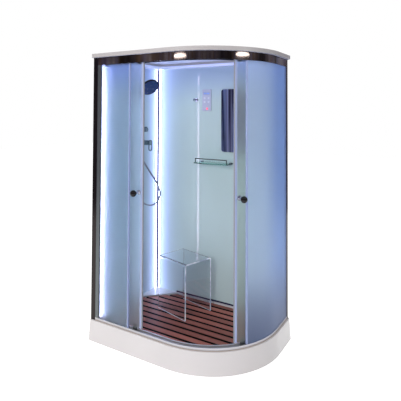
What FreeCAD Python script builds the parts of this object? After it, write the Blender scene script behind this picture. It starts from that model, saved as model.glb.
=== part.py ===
"""Shower cabin: an acrylic tray with one round corner, glass walls and doors, a roof and its fittings.

Millimetres. +X runs along the long back wall, +Y towards it and +Z up. The origin is on the floor, at the
middle of the plan. An inset is a distance inwards from the plan's outline at the tray's rim.
"""
import FreeCAD, Part
import math
import os
import re

import Sketcher
from FreeCAD import Placement, Rotation, Vector

SIZES = {
    # the whole cabin
    "cabin_width": 1200,
    "cabin_depth": 800,
    "bend_radius": 550,
    "cut_over": 30,
    # tray
    "rim_height": 145,
    "skirt_flare": 10,
    "skirt_gap": 4,
    "skirt_wall": 6,
    "skirt_corner": 25,
    "rim_corner": 16,
    "ledge_drop": 17,
    "basin_inset": 60,
    "basin_left": 52,
    "basin_back": 29,
    "basin_front_corner": 80,
    "basin_back_corner": 60,
    "basin_wall_corner": 216,
    "basin_corner_angle": 45,
    "floor_height": 85,
    # deck
    "deck_clearance": 4,
    "batten_thick": 17,
    "batten_width": 30,
    "slat_thick": 18,
    "slat_pitch": 70,
    "slat_gap": 16,
    "slat_start": 33,
    "slat_gaps_each_way": 4,
    # bottom rail
    "rail_inset": 12,
    "rail_web": 2.5,
    "glass_thick": 5,
    "glass_slack": 0.5,
    "rail_base": 4,
    "rail_groove": 14,
    "guide_inset": 41,
    "guide_thick": 3,
    "guide_height": 19,
    # header
    "header_top": 2015,
    "header_height": 55,
    "header_width": 52,
    "header_web": 3,
    "header_groove": 30,
    "track_inset": 45,
    "track_rise": 6,
    "track_thick": 3,
    # posts
    "post_inset": 5,
    "post_width": 40,
    "post_wall": 2,
    "channel_width": 30,
    "channel_depth": 16,
    "channel_bite": 22,
    "right_post_width": 28,
    "right_post_depth": 29,
    # glass walls
    "wall_left_inset": 40,
    "wall_back_inset": 10,
    "left_glass_width": 283,
    "right_glass_angle": 32.7,
    "seal_width": 6,
    "seal_lip": 0.6,
    # corner and light strips
    "corner_width": 14,
    "strip_width": 22,
    "strip_depth": 5,
    "strip_lip": 2,
    "diffuser_proud": 2,
    "strip_space": 4,
    "front_strip_space": 13,
    "base_strip_height": 11,
    "base_strip_thick": 4,
    "base_strip_start": 352,
    # doors
    "door_inset": 32,
    "door_bottom": 178,
    "door_head_rise": 4,
    "left_door_space": 8,
    "left_door_width": 391,
    "right_door_angle": 42.4,
    "right_door_sweep_angle": 54.1,
    "stile_width": 20,
    "stile_cover": 2.5,
    "stile_bite": 12,
    "bracket_width": 30,
    "bracket_thick": 3,
    "bracket_overlap": 14,
    "fitting_margin": 40,
    "fitting_tail_margin": 60,
    "wheel_radius": 11,
    "wheel_width": 7,
    "wheel_lift": 0.2,
    "wheel_groove": 1,
    "axle_radius": 3,
    "axle_play": 0.06,
    "axle_side_play": 0.4,
    "axle_shoulder": 4.5,
    "axle_head": 5,
    "axle_head_thick": 2,
    "shoe_lead_margin": 62,
    "shoe_tail_margin": 98,
    "shoe_width": 30,
    "shoe_drop": 24,
    "shoe_cheek": 22,
    "shoe_play": 1,
    # knobs
    "knob_height": 1080,
    "knob_margin": 38,
    "knob_flange_radius": 17,
    "knob_flange_thick": 7,
    "knob_neck_radius": 10,
    "knob_nut_radius": 12,
    "knob_nut_length": 5,
    "knob_bolt_radius": 5,
    "knob_reach": 60,
    "knob_ball_radius": 22,
    # roof
    "roof_over": 10,
    "roof_rim": 27,
    "roof_sheet": 4,
    "roof_corner": 26,
    "roof_ring": 4,
    "ceiling_drop": 25,
    "ceiling_inset": 66,
    "ceiling_space": 1,
    "ceiling_corner": 30,
    "ceiling_border": 64,
    "ceiling_rise": 44,
    # lamp and fan
    "lamp_left": 120,
    "lamp_front": 20,
    "lamp_radius": 75,
    "lamp_height": 22,
    "lens_radius": 65,
    "lens_proud": 8,
    "fan_right": 230,
    "fan_back": 60,
    "fan_radius": 60,
    "fan_wall": 4,
    "fan_height": 50,
    "fan_mouth": 50,
    "grille_bar": 4,
    "grille_thick": 3,
    "motor_radius": 20,
    "motor_height": 19,
    "fan_shaft_radius": 3,
    "fan_shaft_length": 17,
    "fan_hub_radius": 12,
    "fan_hub_height": 14,
    "fan_blade_radius": 46,
    "fan_blade_height": 12,
    "fan_blade_thick": 2,
    "fan_blades": 5,
    "fan_play": 1,
    # fittings on the left wall
    "fittings_back": 175,
    "mixer_below_head": 441,
    "mixer_plate_radius": 31,
    "mixer_plate_thick": 8,
    "mixer_body_radius": 20,
    "mixer_body_length": 34,
    "mixer_stem_radius": 15,
    "cap_radius": 20,
    "cap_length": 20,
    "cap_slot": 9,
    "cap_play": 0.4,
    "lever_gap": 8,
    "lever_thick": 8,
    "lever_width": 46,
    "lever_bar": 7,
    "lever_drop": 68,
    "lever_rise": 24,
    "lever_tongue": 8.4,
    "lever_tongue_reach": 15,
    "lever_pin_radius": 2,
    "lever_pin_play": 0.06,
    "knob_plate_rise": 107,
    "knob_plate_radius": 28,
    "knob_plate_thick": 6,
    "diverter_radius": 20,
    "diverter_length": 33,
    "diverter_stem_radius": 6,
    "diverter_play": 0.06,
    "diverter_nib": 4,
    "valve_depth": 30,
    "valve_width": 60,
    "valve_margin": 28,
    "wall_gap": 1,
    "pipe_radius": 9,
    "inlet_radius": 10.5,
    "inlet_length": 50,
    "outlet_front": 5,
    "outlet_below_mixer": 138,
    "outlet_plate_radius": 22,
    "outlet_plate_thick": 5,
    "outlet_reach": 30,
    "outlet_radius": 11,
    "outlet_drop": 22,
    # handset
    "head_out": 180,
    "head_back": 20,
    "head_below_ceiling": 176,
    "head_radius": 73,
    "head_thick": 20,
    "head_dome": 24,
    "head_crown_radius": 25,
    "handle_behind": 36,
    "handle_radius": 12,
    "handle_length": 195,
    "nut_radius": 10,
    "nut_length": 22,
    "holder_along": 140,
    "holder_length": 34,
    "holder_wall": 4,
    "holder_play": 0.08,
    "holder_arm_radius": 9,
    "holder_plate_radius": 24,
    "holder_plate_thick": 7,
    # hose
    "hose_radius": 7,
    "hose_start_run": 40,
    "hose_end_run": 63,
    # fittings on the back wall
    "hook_left": 173,
    "hook_below_ceiling": 262,
    "hook_plate_radius": 15,
    "hook_plate_thick": 6,
    "hook_stem_radius": 5,
    "hook_reach": 40,
    "hook_ball_radius": 12,
    "panel_left": 114,
    "panel_width": 78,
    "panel_below_ceiling": 178,
    "panel_height": 176,
    "panel_thick": 12,
    "panel_corner": 8,
    "button_right_of_edge": 44,
    "button_up": 19,
    "button_radius": 8,
    "button_play": 0.1,
    "button_length": 7,
    "button_proud": 1.5,
    "mirror_start": 60,
    "mirror_width": 230,
    "mirror_below_ceiling": 182,
    "mirror_height": 493,
    "mirror_thick": 5,
    "mirror_corner": 20,
    "stud_length": 13,
    "stud_radius": 8,
    "stud_margin": 35,
    "shelf_left": 130,
    "shelf_width": 288,
    "shelf_depth": 118,
    "shelf_below_mirror": 94,
    "shelf_thick": 8,
    "shelf_space": 4,
    "shelf_margin": 18,
    "clamp_width": 16,
    "clamp_reach": 24,
    "clamp_thick": 8,
    "shelf_rail_rise": 30,
    "shelf_rail_radius": 3.5,
    "shelf_rail_inset": 12,
    "shelf_rail_margin": 8,
    # stool
    "stool_left": 141,
    "stool_back": 156,
    "stool_turn": -16,
    "stool_length": 296,
    "stool_depth": 272,
    "stool_height": 400,
    "stool_thick": 10,
    "stool_bend": 16,
    # under the tray
    "tube_side": 25,
    "tube_wall": 2,
    "frame_left_space": 80,
    "frame_front_space": 200,
    "frame_back_space": 280,
    "frame_front_right_space": 170,
    "frame_back_right_space": 60,
    "cross_left_space": 120,
    "cross_right_space": 200,
    "foot_radius": 22,
    "foot_thick": 8,
    "rod_radius": 6,
    "locknut_radius": 10,
    "locknut_thick": 8,
    "drain_left_space": 220,
    "drain_back_space": 195,
    "drain_radius": 40,
    "trap_radius": 45,
    "trap_height": 55,
    "trap_flange": 8,
    "trap_flange_thick": 2,
    "trap_play": 0.5,
    "strainer_radius": 45,
    "strainer_thick": 3,
    "strainer_hole_radius": 4,
    "strainer_ring": 28,
    "strainer_holes": 10,
    "spigot_radius": 20,
    "spigot_wall": 2.5,
    "spigot_space": 4,
    "spigot_height": 45,
}

# The hose's route, from the handset's nut to the outlet, chosen by hand. Its first and last runs are
# straight. Each point is its distance out from the left wall, its place on Y, and its height over the
# outlet as a share of the drop from the end of the first run to the outlet.
HOSE_ROUTE = (
    (19, -54, 0.8134),
    (24, -26, 0.5381),
    (38, 38, 0.2628),
    (49, 106, 0.0025),
    (55, 198, -0.2528),
    (64, 286, -0.4956),
    (70, 345, -0.7508),
    (64, 292, -0.9335),
    (54, 200, -0.9586),
    (44, 112, -0.8585),
    (36, 48, -0.6683),
    (31, 10, -0.4330),
)

doc = FreeCAD.newDocument("shower_cabin")
sheet = doc.addObject("Spreadsheet::Sheet", "sizes")
for row, (alias, value) in enumerate(SIZES.items(), start=1):
    sheet.set(f"A{row}", alias)
    sheet.set(f"B{row}", str(value))
    sheet.setAlias(f"B{row}", alias)
doc.recompute()

WORD = re.compile(r"[a-z][a-z_]*")
DERIVED = {
    "left_x": "-cabin_width/2",
    "right_x": "cabin_width/2",
    "front_y": "-cabin_depth/2",
    "back_y": "cabin_depth/2",
    "bend_x": "cabin_width/2 - bend_radius",
    "bend_y": "bend_radius - cabin_depth/2",
    "wall_x": "left_x + wall_left_inset",
    "wall_y": "back_y - wall_back_inset",
    "ledge_height": "rim_height - ledge_drop",
    "deck_bottom": "floor_height",
    "slat_bottom": "deck_bottom + batten_thick",
    "deck_top": "slat_bottom + slat_thick",
    "rail_top": "rim_height + rail_base + rail_groove",
    "glass_inset": "rail_inset + rail_web + glass_slack",
    "glass_foot": "rim_height + rail_base",
    "header_bottom": "header_top - header_height",
    "track_top": "header_bottom + track_rise + track_thick",
    "wheel_z": "track_top + wheel_lift + wheel_radius",
    "wheel_inset": "track_inset + 2*wheel_groove",
    "roof_top": "header_top + roof_rim",
    "ceiling_bottom": "header_top - ceiling_drop",
    "ceiling_middle": "ceiling_bottom + ceiling_rise",
    "post_right": "left_x + post_inset + post_width",
    "frame_top": "floor_height - skirt_wall",
    "frame_bottom": "frame_top - tube_side",
    "stool_top": "deck_top + stool_height",
    "frame_left": "cabin_width/2 - frame_left_space",
    "frame_front": "cabin_depth/2 - frame_front_space",
    "frame_back": "cabin_depth/2 - frame_back_space",
    "frame_front_right": "cabin_width/2 - frame_front_right_space",
    "frame_back_right": "cabin_width/2 - frame_back_right_space",
    "cross_left": "cabin_width/2 - cross_left_space",
    "cross_right": "cabin_width/2 - cross_right_space",
    "drain_x": "left_x + drain_left_space",
    "drain_back": "back_y - drain_back_space",
    "cap_start": "wall_x + mixer_plate_thick + mixer_body_length",
    "left_glass_end": "post_right + left_glass_width",
    "left_door_lead": "post_right + left_door_space + left_door_width",
    "door_top": "header_bottom + door_head_rise",
    "head_height": "ceiling_bottom - head_below_ceiling",
    "hook_height": "ceiling_bottom - hook_below_ceiling",
    "panel_bottom": "ceiling_bottom - panel_below_ceiling - panel_height",
    "mixer_height": "head_height - mixer_below_head",
    "knob_plate_height": "mixer_height + knob_plate_rise",
    "outlet_height": "mixer_height - outlet_below_mixer",
    "mirror_bottom": "ceiling_bottom - mirror_below_ceiling - mirror_height",
    "shelf_height": "mirror_bottom - shelf_below_mirror",
}


def spelled(formula):
    """The formula with each derived word written out, down to the sheet's own words."""
    known = re.compile(r"\b(" + "|".join(DERIVED) + r")\b")
    while known.search(formula):
        formula = known.sub(lambda found: "(" + DERIVED[found.group()] + ")", formula)
    return formula


def tied(formula):
    """The formula as the document's expressions want it."""
    return WORD.sub(
        lambda found: "sizes." + found.group() if found.group() in SIZES else found.group(),
        spelled(str(formula)),
    )


SPARE_CELL = "D1"


def size(formula):
    """The formula's value, worked out in a spare cell of the sheet, for the shapes made point by point."""
    sheet.set(SPARE_CELL, "=" + spelled(str(formula)))
    sheet.recompute()
    value = sheet.get(SPARE_CELL)
    return float(getattr(value, "Value", value))


def bind(made, **properties):
    """Ties properties of an object to formulas."""
    for name, formula in properties.items():
        made.setExpression(name.replace("__", "."), tied(formula))
    return made


def box(x, y, z):
    """A block from its low and high formula on each axis."""
    made = doc.addObject("Part::Box", "block")
    for side, axis, (low, high) in zip(("Length", "Width", "Height"), "xyz", (x, y, z)):
        made.setExpression(side, tied(f"({high}) - ({low})"))
        made.setExpression("Placement.Base." + axis, tied(low))
    return made


TURNS = {"x": Rotation(Vector(0, 1, 0), 90), "y": Rotation(Vector(1, 0, 0), -90), "z": Rotation()}


def round_bar(axis, centre, radius, low, high, end_radius=None):
    """A cylinder, or a cone where it ends in another radius. centre is its place on the other two axes."""
    kind = "Part::Cylinder" if end_radius is None else "Part::Cone"
    made = doc.addObject(kind, "bar")
    made.Placement = Placement(Vector(), TURNS[axis])
    if end_radius is None:
        made.setExpression("Radius", tied(radius))
    else:
        made.setExpression("Radius1", tied(radius))
        made.setExpression("Radius2", tied(end_radius))
    made.setExpression("Height", tied(f"({high}) - ({low})"))
    others = [name for name in "xyz" if name != axis]
    for name, formula in zip(others, centre):
        made.setExpression("Placement.Base." + name, tied(formula))
    made.setExpression("Placement.Base." + axis, tied(low))
    return made


def ball(centre, radius):
    """A sphere."""
    made = doc.addObject("Part::Sphere", "ball")
    made.setExpression("Radius", tied(radius))
    for name, formula in zip("xyz", centre):
        made.setExpression("Placement.Base." + name, tied(formula))
    return made


def fuse(*parts):
    """One solid from parts that meet."""
    made = doc.addObject("Part::MultiFuse", "joined")
    made.Shapes = list(parts)
    made.Refine = True
    return made


def group(*parts):
    """Separate solids that share a name."""
    made = doc.addObject("Part::Compound", "group")
    made.Links = list(parts)
    return made


def cut(base, *tools):
    """The base without the tools."""
    made = doc.addObject("Part::Cut", "cut")
    made.Base = base
    made.Tool = tools[0] if len(tools) == 1 else group(*tools)
    made.Refine = True
    return made


def common(first, second):
    """What two shapes share."""
    made = doc.addObject("Part::Common", "shared")
    made.Base = first
    made.Tool = second
    return made


def put(made, x=0, y=0, z=0, turn=0):
    """Places a finished local shape: turned about the vertical through its own origin, then moved."""
    made.setExpression("Placement.Rotation.Angle", tied(turn))
    for name, formula in zip("xyz", (x, y, z)):
        made.setExpression("Placement.Base." + name, tied(formula))
    return made


def named(label, made):
    """Gives a finished sub-part the label that names its file."""
    made.Label = label
    PIECES.append(made)
    return made


PIECES = []


def outline(height, inset, left, back, corners=None):
    """A sketch of the plan: straight left, front, right and back sides, and the big bend at the front right.

    inset is that of the front and right sides. corners are the radii at the front left, back right and
    back left.
    """
    sketch = doc.addObject("Sketcher::SketchObject", "plan")
    sketch.setExpression("Placement.Base.z", tied(height))
    x0, y1, bend = size(left), size(back), size(f"bend_radius - ({inset})")
    cx, cy = size("bend_x"), size("bend_y")
    y0, x1 = cy - bend, cx + bend
    rounds = [size(radius) for radius in corners] if corners else [0, 0, 0]

    def line(a, b):
        return sketch.addGeometry(Part.LineSegment(Vector(*a, 0), Vector(*b, 0)), False)

    def arc(x, y, radius, start):
        circle = Part.Circle(Vector(x, y, 0), Vector(0, 0, 1), radius)
        first = math.radians(start)
        return sketch.addGeometry(Part.ArcOfCircle(circle, first, first + math.pi / 2), False)

    front_r, right_r, left_r = rounds
    chain = [line((x0 + front_r, y0), (cx, y0)), arc(cx, cy, bend, -90), line((x1, cy), (x1, y1 - right_r))]
    if corners:
        chain.append(arc(x1 - right_r, y1 - right_r, right_r, 0))
    chain.append(line((x1 - right_r, y1), (x0 + left_r, y1)))
    if corners:
        chain.append(arc(x0 + left_r, y1 - left_r, left_r, 90))
    chain.append(line((x0, y1 - left_r), (x0, y0 + front_r)))
    if corners:
        chain.append(arc(x0 + front_r, y0 + front_r, front_r, 180))

    arcs = {1, 3, 5, 7} if corners else {1}
    for place, here in enumerate(chain):
        after = (place + 1) % len(chain)
        kind = "Tangent" if place in arcs or after in arcs else "Coincident"
        sketch.addConstraint(Sketcher.Constraint(kind, here, 2, chain[after], 1))
    straight = [chain[place] for place in range(len(chain)) if place not in arcs]
    for side, kind in zip(straight, ("Horizontal", "Vertical", "Horizontal", "Vertical")):
        sketch.addConstraint(Sketcher.Constraint(kind, side))

    def driven(constraint, formula):
        place = sketch.addConstraint(constraint)
        sketch.setExpression(f"Constraints[{place}]", tied(formula))

    driven(Sketcher.Constraint("Radius", chain[1], bend), f"bend_radius - ({inset})")
    driven(Sketcher.Constraint("DistanceX", -1, 1, chain[1], 3, cx), "bend_x")
    driven(Sketcher.Constraint("DistanceY", -1, 1, chain[1], 3, cy), "bend_y")
    driven(Sketcher.Constraint("DistanceX", straight[3], 1, -1, 1, -x0), f"-({left})")
    driven(Sketcher.Constraint("DistanceY", -1, 1, straight[2], 1, y1), back)
    if corners:
        for place, radius, formula in zip((7, 3, 5), rounds, corners):
            driven(Sketcher.Constraint("Radius", chain[place], radius), formula)
    return sketch


def slab(inset, left, back, low, high, corners=None):
    """The plan's outline as an upright slab between two heights."""
    made = doc.addObject("Part::Extrusion", "slab")
    made.Base = outline(low, inset, left, back, corners)
    made.DirMode = "Normal"
    made.Solid = True
    made.setExpression("LengthFwd", tied(f"({high}) - ({low})"))
    return made


def even_slab(inset, low, high, corner):
    """A slab with the same inset on all four sides."""
    return slab(inset, f"left_x + ({inset})", f"back_y - ({inset})", low, high, [corner] * 3)


def rail(inset, width, low, high, start="post_right", end="back_y - right_post_depth - wall_back_inset/2"):
    """A rail that follows the front, the bend and the right side, from the left post to the right one."""
    outer = slab(inset, start, end, low, high)
    inner = slab(
        f"({inset}) + ({width})", f"({start}) - cut_over", f"({end}) + cut_over", f"({low}) - cut_over",
        f"({high}) + cut_over",
    )
    return cut(outer, inner)


def sector(inner, outer, start, sweep, low, high):
    """Part of a ring round the bend's centre, from a start angle and through a sweep, both in degrees."""
    whole = doc.addObject("Part::Cylinder", "sector")
    hole = doc.addObject("Part::Cylinder", "hole")
    for made, radius, bottom, top in (
        (whole, outer, low, high), (hole, inner, f"({low}) - cut_over", f"({high}) + cut_over")
    ):
        bind(made, Radius=radius, Height=f"({top}) - ({bottom})", Placement__Base__z=bottom)
    bind(whole, Angle=sweep)
    return put(group(cut(whole, hole)), "bend_x", "bend_y", 0, start)


def left_strip(inset, thick, start, end, low, high):
    """A flat upright strip along the front, from one place on X to another."""
    return box((start, end), (f"front_y + ({inset})", f"front_y + ({inset}) + ({thick})"), (low, high))


def right_strip(inset, thick, start, sweep, low, high):
    """A bent upright strip round the bend."""
    outer = f"bend_radius - ({inset})"
    return sector(f"{outer} - ({thick})", outer, start, sweep, low, high)


def degrees(length, radius):
    """The angle that a length takes on a radius, as a formula."""
    return f"({length})/({radius})*180/pi"


def corner_block(clear, low, high):
    """A block that stands across the basin's back left corner. clear is its distance in front of that cut."""
    made = box(
        ("0", "basin_wall_corner*sqrt(2) + 2*cut_over"), ("0", f"basin_wall_corner + ({clear})"), (low, high),
    )
    return put(
        made, f"left_x + basin_left + (({clear}) - cut_over)/sqrt(2)",
        f"back_y - basin_back - basin_wall_corner - (({clear}) + cut_over)/sqrt(2)", low, "basin_corner_angle",
    )


def make_tray():
    """Acrylic tray: flared skirt, rim, a lower ledge under the glass walls, and the basin with one cut corner."""
    loft = doc.addObject("Part::Loft", "skirt")
    flare = "-skirt_flare"
    foot = outline("skirt_gap", flare, f"left_x + {flare}", f"back_y - {flare}", ["skirt_corner"] * 3)
    rim = outline("rim_height", 0, "left_x", "back_y", ["rim_corner"] * 3)
    loft.Sections = [foot, rim]
    loft.Solid = True
    loft.Ruled = True
    basin_sides = ("basin_inset", "left_x + basin_left", "back_y - basin_back")
    basin_corners = ["basin_front_corner", "basin_back_corner", "basin_back_corner"]
    basin = cut(
        slab(*basin_sides, "floor_height", "rim_height + cut_over", basin_corners),
        corner_block("0", "floor_height - cut_over", "rim_height + 2*cut_over"),
    )
    below = even_slab("skirt_wall", "skirt_gap - cut_over", "frame_top", "rim_corner")
    shell_ring = even_slab("skirt_wall", "frame_top", "rim_height - skirt_wall", "rim_corner")
    keep_basin = cut(
        slab(
            "basin_inset - skirt_wall", "left_x + basin_left - skirt_wall", "back_y - basin_back + skirt_wall",
            "frame_top - cut_over", "rim_height + cut_over", basin_corners,
        ),
        corner_block("-skirt_wall", "frame_top - 2*cut_over", "rim_height + 2*cut_over"),
    )
    wall_tops = ("ledge_height - skirt_wall", "rim_height")
    keep_left = box(
        ("left_x - cut_over", "left_x + basin_left + skirt_wall"),
        ("front_y - cut_over", "back_y + cut_over"), wall_tops,
    )
    keep_back = box(
        ("left_x - cut_over", "right_x + cut_over"),
        ("back_y - basin_back - skirt_wall", "back_y + cut_over"), wall_tops,
    )
    keep_corner = box(
        ("left_x", "left_x + basin_left + basin_wall_corner"),
        ("back_y - basin_back - basin_wall_corner", "back_y"), wall_tops,
    )
    hollow = cut(shell_ring, keep_basin, keep_left, keep_back, keep_corner)
    over = ("ledge_height", "rim_height + cut_over")
    left_ledge = box(
        ("left_x - cut_over", "left_x + basin_left"),
        ("front_y + rail_inset + post_width", "back_y + cut_over"), over,
    )
    back_ledge = box(
        ("left_x - cut_over", "right_x - rail_inset - right_post_width"),
        ("back_y - basin_back", "back_y + cut_over"), over,
    )
    corner_ledge = box(
        ("left_x", "left_x + basin_left + basin_wall_corner"),
        ("back_y - basin_back - basin_wall_corner", "back_y"), over,
    )
    drain = round_bar("z", ("drain_x", "drain_back"), "drain_radius", "frame_top - cut_over",
                      "floor_height + cut_over")
    spigot = round_bar("y", ("drain_x", "spigot_height"), "spigot_radius + spigot_space",
                       "back_y - basin_back", "back_y + skirt_flare + cut_over")
    named("tray", cut(loft, basin, below, hollow, left_ledge, back_ledge, corner_ledge, drain, spigot))


def deck_outline(low, high):
    """The tray's basin less the deck's clearance all round."""
    whole = slab(
        "basin_inset + deck_clearance", "left_x + basin_left + deck_clearance",
        "back_y - basin_back - deck_clearance", low, high,
        ["basin_front_corner - deck_clearance", "basin_back_corner - deck_clearance",
         "basin_back_corner - deck_clearance"],
    )
    return cut(whole, corner_block("deck_clearance", f"({low}) - cut_over", f"({high}) + cut_over"))


def make_deck():
    """Ten slats on four battens, cut to the basin's outline."""
    gaps = []
    count = int(SIZES["slat_gaps_each_way"])
    for step in range(-count, count + 1):
        middle = f"slat_start + {step}*slat_pitch"
        gaps.append(box(
            ("left_x", "right_x"), (f"{middle} - slat_gap/2", f"{middle} + slat_gap/2"),
            ("slat_bottom - cut_over", "deck_top + cut_over"),
        ))
    named("deck_slats", cut(deck_outline("slat_bottom", "deck_top"), *gaps))
    bars = []
    for share in BATTEN_SHARES:
        middle = f"cabin_width*{share}"
        bars.append(box(
            (f"{middle} - batten_width/2", f"{middle} + batten_width/2"), ("front_y", "back_y"),
            ("deck_bottom - cut_over", "slat_bottom + cut_over"),
        ))
    named("deck_battens", common(deck_outline("deck_bottom", "slat_bottom"), group(*bars)))


BATTEN_SHARES = (-0.405, -0.125, 0.11, 0.31)


def make_rails():
    """The bottom rail with its glass groove and door guide, and the header with its groove and track."""
    inner_wall = "rail_inset + rail_web + glass_thick + 2*glass_slack"
    base_width = "guide_inset + guide_thick - rail_inset"
    base = rail("rail_inset", base_width, "rim_height", "rim_height + rail_base")
    outer = rail("rail_inset", "rail_web", "rim_height", "rail_top")
    inner = rail(inner_wall, "rail_web", "rim_height", "rail_top")
    guide = rail("guide_inset", "guide_thick", "rim_height", "rim_height + rail_base + guide_height")
    named("bottom_rail", fuse(base, outer, inner, guide))
    face = rail("rail_inset", "rail_web", "header_bottom", "header_top")
    top = rail("rail_inset", "header_width", "header_top - header_web", "header_top")
    groove = rail(inner_wall, "rail_web", "header_top - header_groove", "header_top")
    back = rail("rail_inset + header_width - rail_web", "rail_web", "header_bottom", "header_top")
    track_width = "rail_inset + header_width - track_inset"
    track = rail("track_inset", track_width, "header_bottom + track_rise", "track_top")
    named("header_rail", fuse(face, top, groove, back, track))


def make_posts():
    """Left post and glass channel, right post, and the four glass panes that stand between them."""
    post = ("left_x + post_inset", "post_right")
    depth = ("front_y + rail_inset", "front_y + rail_inset + post_width")
    bore = box(
        (f"{post[0]} + post_wall", f"{post[1]} - post_wall"),
        (f"{depth[0]} + post_wall", f"{depth[1]} - post_wall"),
        ("rim_height - cut_over", "header_top + cut_over"),
    )
    named("left_post", cut(box(post, depth, ("rim_height", "header_top")), bore))
    channel = box(
        ("post_right", "post_right + channel_width"), (depth[0], "front_y + rail_inset + channel_depth"),
        ("rail_top", "header_bottom"),
    )
    glass_start = "post_right + channel_width - channel_bite"
    slot = box(
        (glass_start, "post_right + channel_width + cut_over"),
        ("front_y + glass_inset - glass_slack", "front_y + glass_inset + glass_thick + glass_slack"),
        ("rail_top - cut_over", "header_bottom + cut_over"),
    )
    named("left_channel", cut(channel, slot))
    glass_head = "header_top - header_web - glass_slack"
    named("fixed_glass_left", left_strip(
        "glass_inset", "glass_thick", glass_start, "left_glass_end", "glass_foot", glass_head))
    right_in = "right_x - rail_inset - right_post_width"
    end = "back_y - wall_back_inset/2"
    right_post = box(
        (right_in, "right_x - rail_inset"), (f"{end} - right_post_depth", end), ("rim_height", "header_top"))
    right_slot = box(
        ("right_x - glass_inset - glass_thick - glass_slack", "right_x - glass_inset + glass_slack"),
        (f"{end} - right_post_depth - cut_over", f"{end} - right_post_depth + channel_bite/2"),
        ("rim_height - cut_over", "header_top + cut_over"),
    )
    named("right_post", cut(right_post, right_slot))
    bend = right_strip(
        "glass_inset", "glass_thick", "-right_glass_angle", "right_glass_angle", "glass_foot", glass_head)
    straight = box(
        ("right_x - glass_inset - glass_thick", "right_x - glass_inset"),
        ("bend_y", f"{end} - right_post_depth + channel_bite/2"), ("glass_foot", glass_head),
    )
    named("fixed_glass_right", fuse(bend, straight))
    lip = "door_inset - glass_inset - seal_lip"
    seal_top = "header_bottom - glass_slack"
    left_seal = left_strip(
        "glass_inset", lip, "left_glass_end", "left_glass_end + seal_width", "rail_top", seal_top)
    turn = degrees("seal_width", "bend_radius - glass_inset")
    right_seal = right_strip("glass_inset", lip, f"-right_glass_angle - {turn}", turn, "rail_top", seal_top)
    named("glass_end_seals", group(left_seal, right_seal))


def wall_hole(radius, y, z):
    """A hole through the left wall."""
    return round_bar("x", (y, z), radius, "wall_x - glass_thick - cut_over", "wall_x + cut_over")


def make_walls():
    """Glass walls, the dark profiles at the corner and foot, and the light strips."""
    left = box(
        ("wall_x - glass_thick", "wall_x"), ("front_y + rail_inset + post_width", "wall_y"),
        ("ledge_height", "header_top"),
    )
    holes = [
        wall_hole("mixer_stem_radius + glass_slack", "fittings_back", "mixer_height"),
        wall_hole("mixer_stem_radius + glass_slack", "fittings_back", "knob_plate_height"),
        wall_hole("pipe_radius + glass_slack", "-outlet_front", "outlet_height"),
    ]
    named("left_wall", cut(left, *holes))
    named("back_wall", box(
        ("wall_x - glass_thick", "right_x - rail_inset - right_post_width"),
        ("wall_y", "wall_y + glass_thick"), ("ledge_height", "header_top"),
    ))
    upright = ("ledge_height", "ceiling_bottom - glass_slack")
    corner = box(("wall_x", "wall_x + corner_width"), ("wall_y - corner_width", "wall_y"), upright)
    named("corner_profile", corner)
    named("wall_base_profile", box(
        ("-base_strip_start", "right_x - rail_inset - right_post_width"),
        ("wall_y - base_strip_thick", "wall_y"), ("ledge_height", "ledge_height + base_strip_height"),
    ))
    first = "(corner_width + strip_space)"
    left_low = f"wall_y - {first} - strip_width"
    front_low = "front_y + rail_inset + post_width + front_strip_space"
    back_low = f"wall_x + {first}"
    depth = ("wall_x", "wall_x + strip_depth")
    slot_height = ("ledge_height - cut_over", "ceiling_bottom + cut_over")
    lens = ("wall_x + strip_lip", "wall_x + strip_depth + diffuser_proud")
    channels, lenses = [], []
    for low in (left_low, front_low):
        inside = (f"{low} + strip_lip", f"{low} + strip_width - strip_lip")
        body = box(depth, (low, f"{low} + strip_width"), upright)
        channels.append(cut(body, box(lens, inside, slot_height)))
        lenses.append(box(lens, inside, upright))
    inside = (f"{back_low} + strip_lip", f"{back_low} + strip_width - strip_lip")
    body = box((back_low, f"{back_low} + strip_width"), ("wall_y - strip_depth", "wall_y"), upright)
    face = ("wall_y - strip_depth - diffuser_proud", "wall_y - strip_lip")
    channels.append(cut(body, box(inside, face, slot_height)))
    lenses.append(box(inside, face, upright))
    named("light_channels", group(*channels))
    named("light_diffusers", group(*lenses))


def door_strip(side, inset, thick, start, end, low, high):
    """A strip of a door between two distances from its leading edge."""
    if side == "left":
        first, last = f"left_door_lead - ({end})", f"left_door_lead - ({start})"
        return left_strip(inset, thick, first, last, low, high)
    radius = "bend_radius - door_inset"
    first = f"-right_door_angle + {degrees(start, radius)}"
    return right_strip(inset, thick, first, degrees(f"({end}) - ({start})", radius), low, high)


def on_door(side, distance, made):
    """Places a small fitting, drawn with +X outwards from the rim's outline and +Y along the door."""
    if side == "left":
        return put(made, f"left_door_lead - ({distance})", "front_y", 0, "-90")
    turn = f"(-right_door_angle + {degrees(distance, 'bend_radius - door_inset')})"
    return put(made, f"bend_x + bend_radius*cos({turn})", f"bend_y + bend_radius*sin({turn})", 0, turn)


def door_width(side):
    """A door's width along its glass, as a formula."""
    if side == "left":
        return "left_door_width"
    return "right_door_sweep_angle*pi/180*(bend_radius - door_inset)"


def make_wheel():
    """A door roller with a shallow groove, on its own axle."""
    through = ("-(wheel_inset + wheel_width/2) - cut_over", "-(wheel_inset + wheel_width/2) + cut_over")
    rim = [
        round_bar("x", (0, "wheel_z"), "wheel_radius", "-(wheel_inset + wheel_width)",
                  "-(wheel_inset + wheel_width*3/4)"),
        round_bar("x", (0, "wheel_z"), "wheel_radius - wheel_groove", "-(wheel_inset + wheel_width*3/4)",
                  "-(wheel_inset + wheel_width/4)"),
        round_bar("x", (0, "wheel_z"), "wheel_radius", "-(wheel_inset + wheel_width/4)", "-wheel_inset"),
    ]
    bore = round_bar("x", (0, "wheel_z"), "axle_radius + axle_play", *through)
    return group(cut(fuse(*rim), bore))


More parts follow.
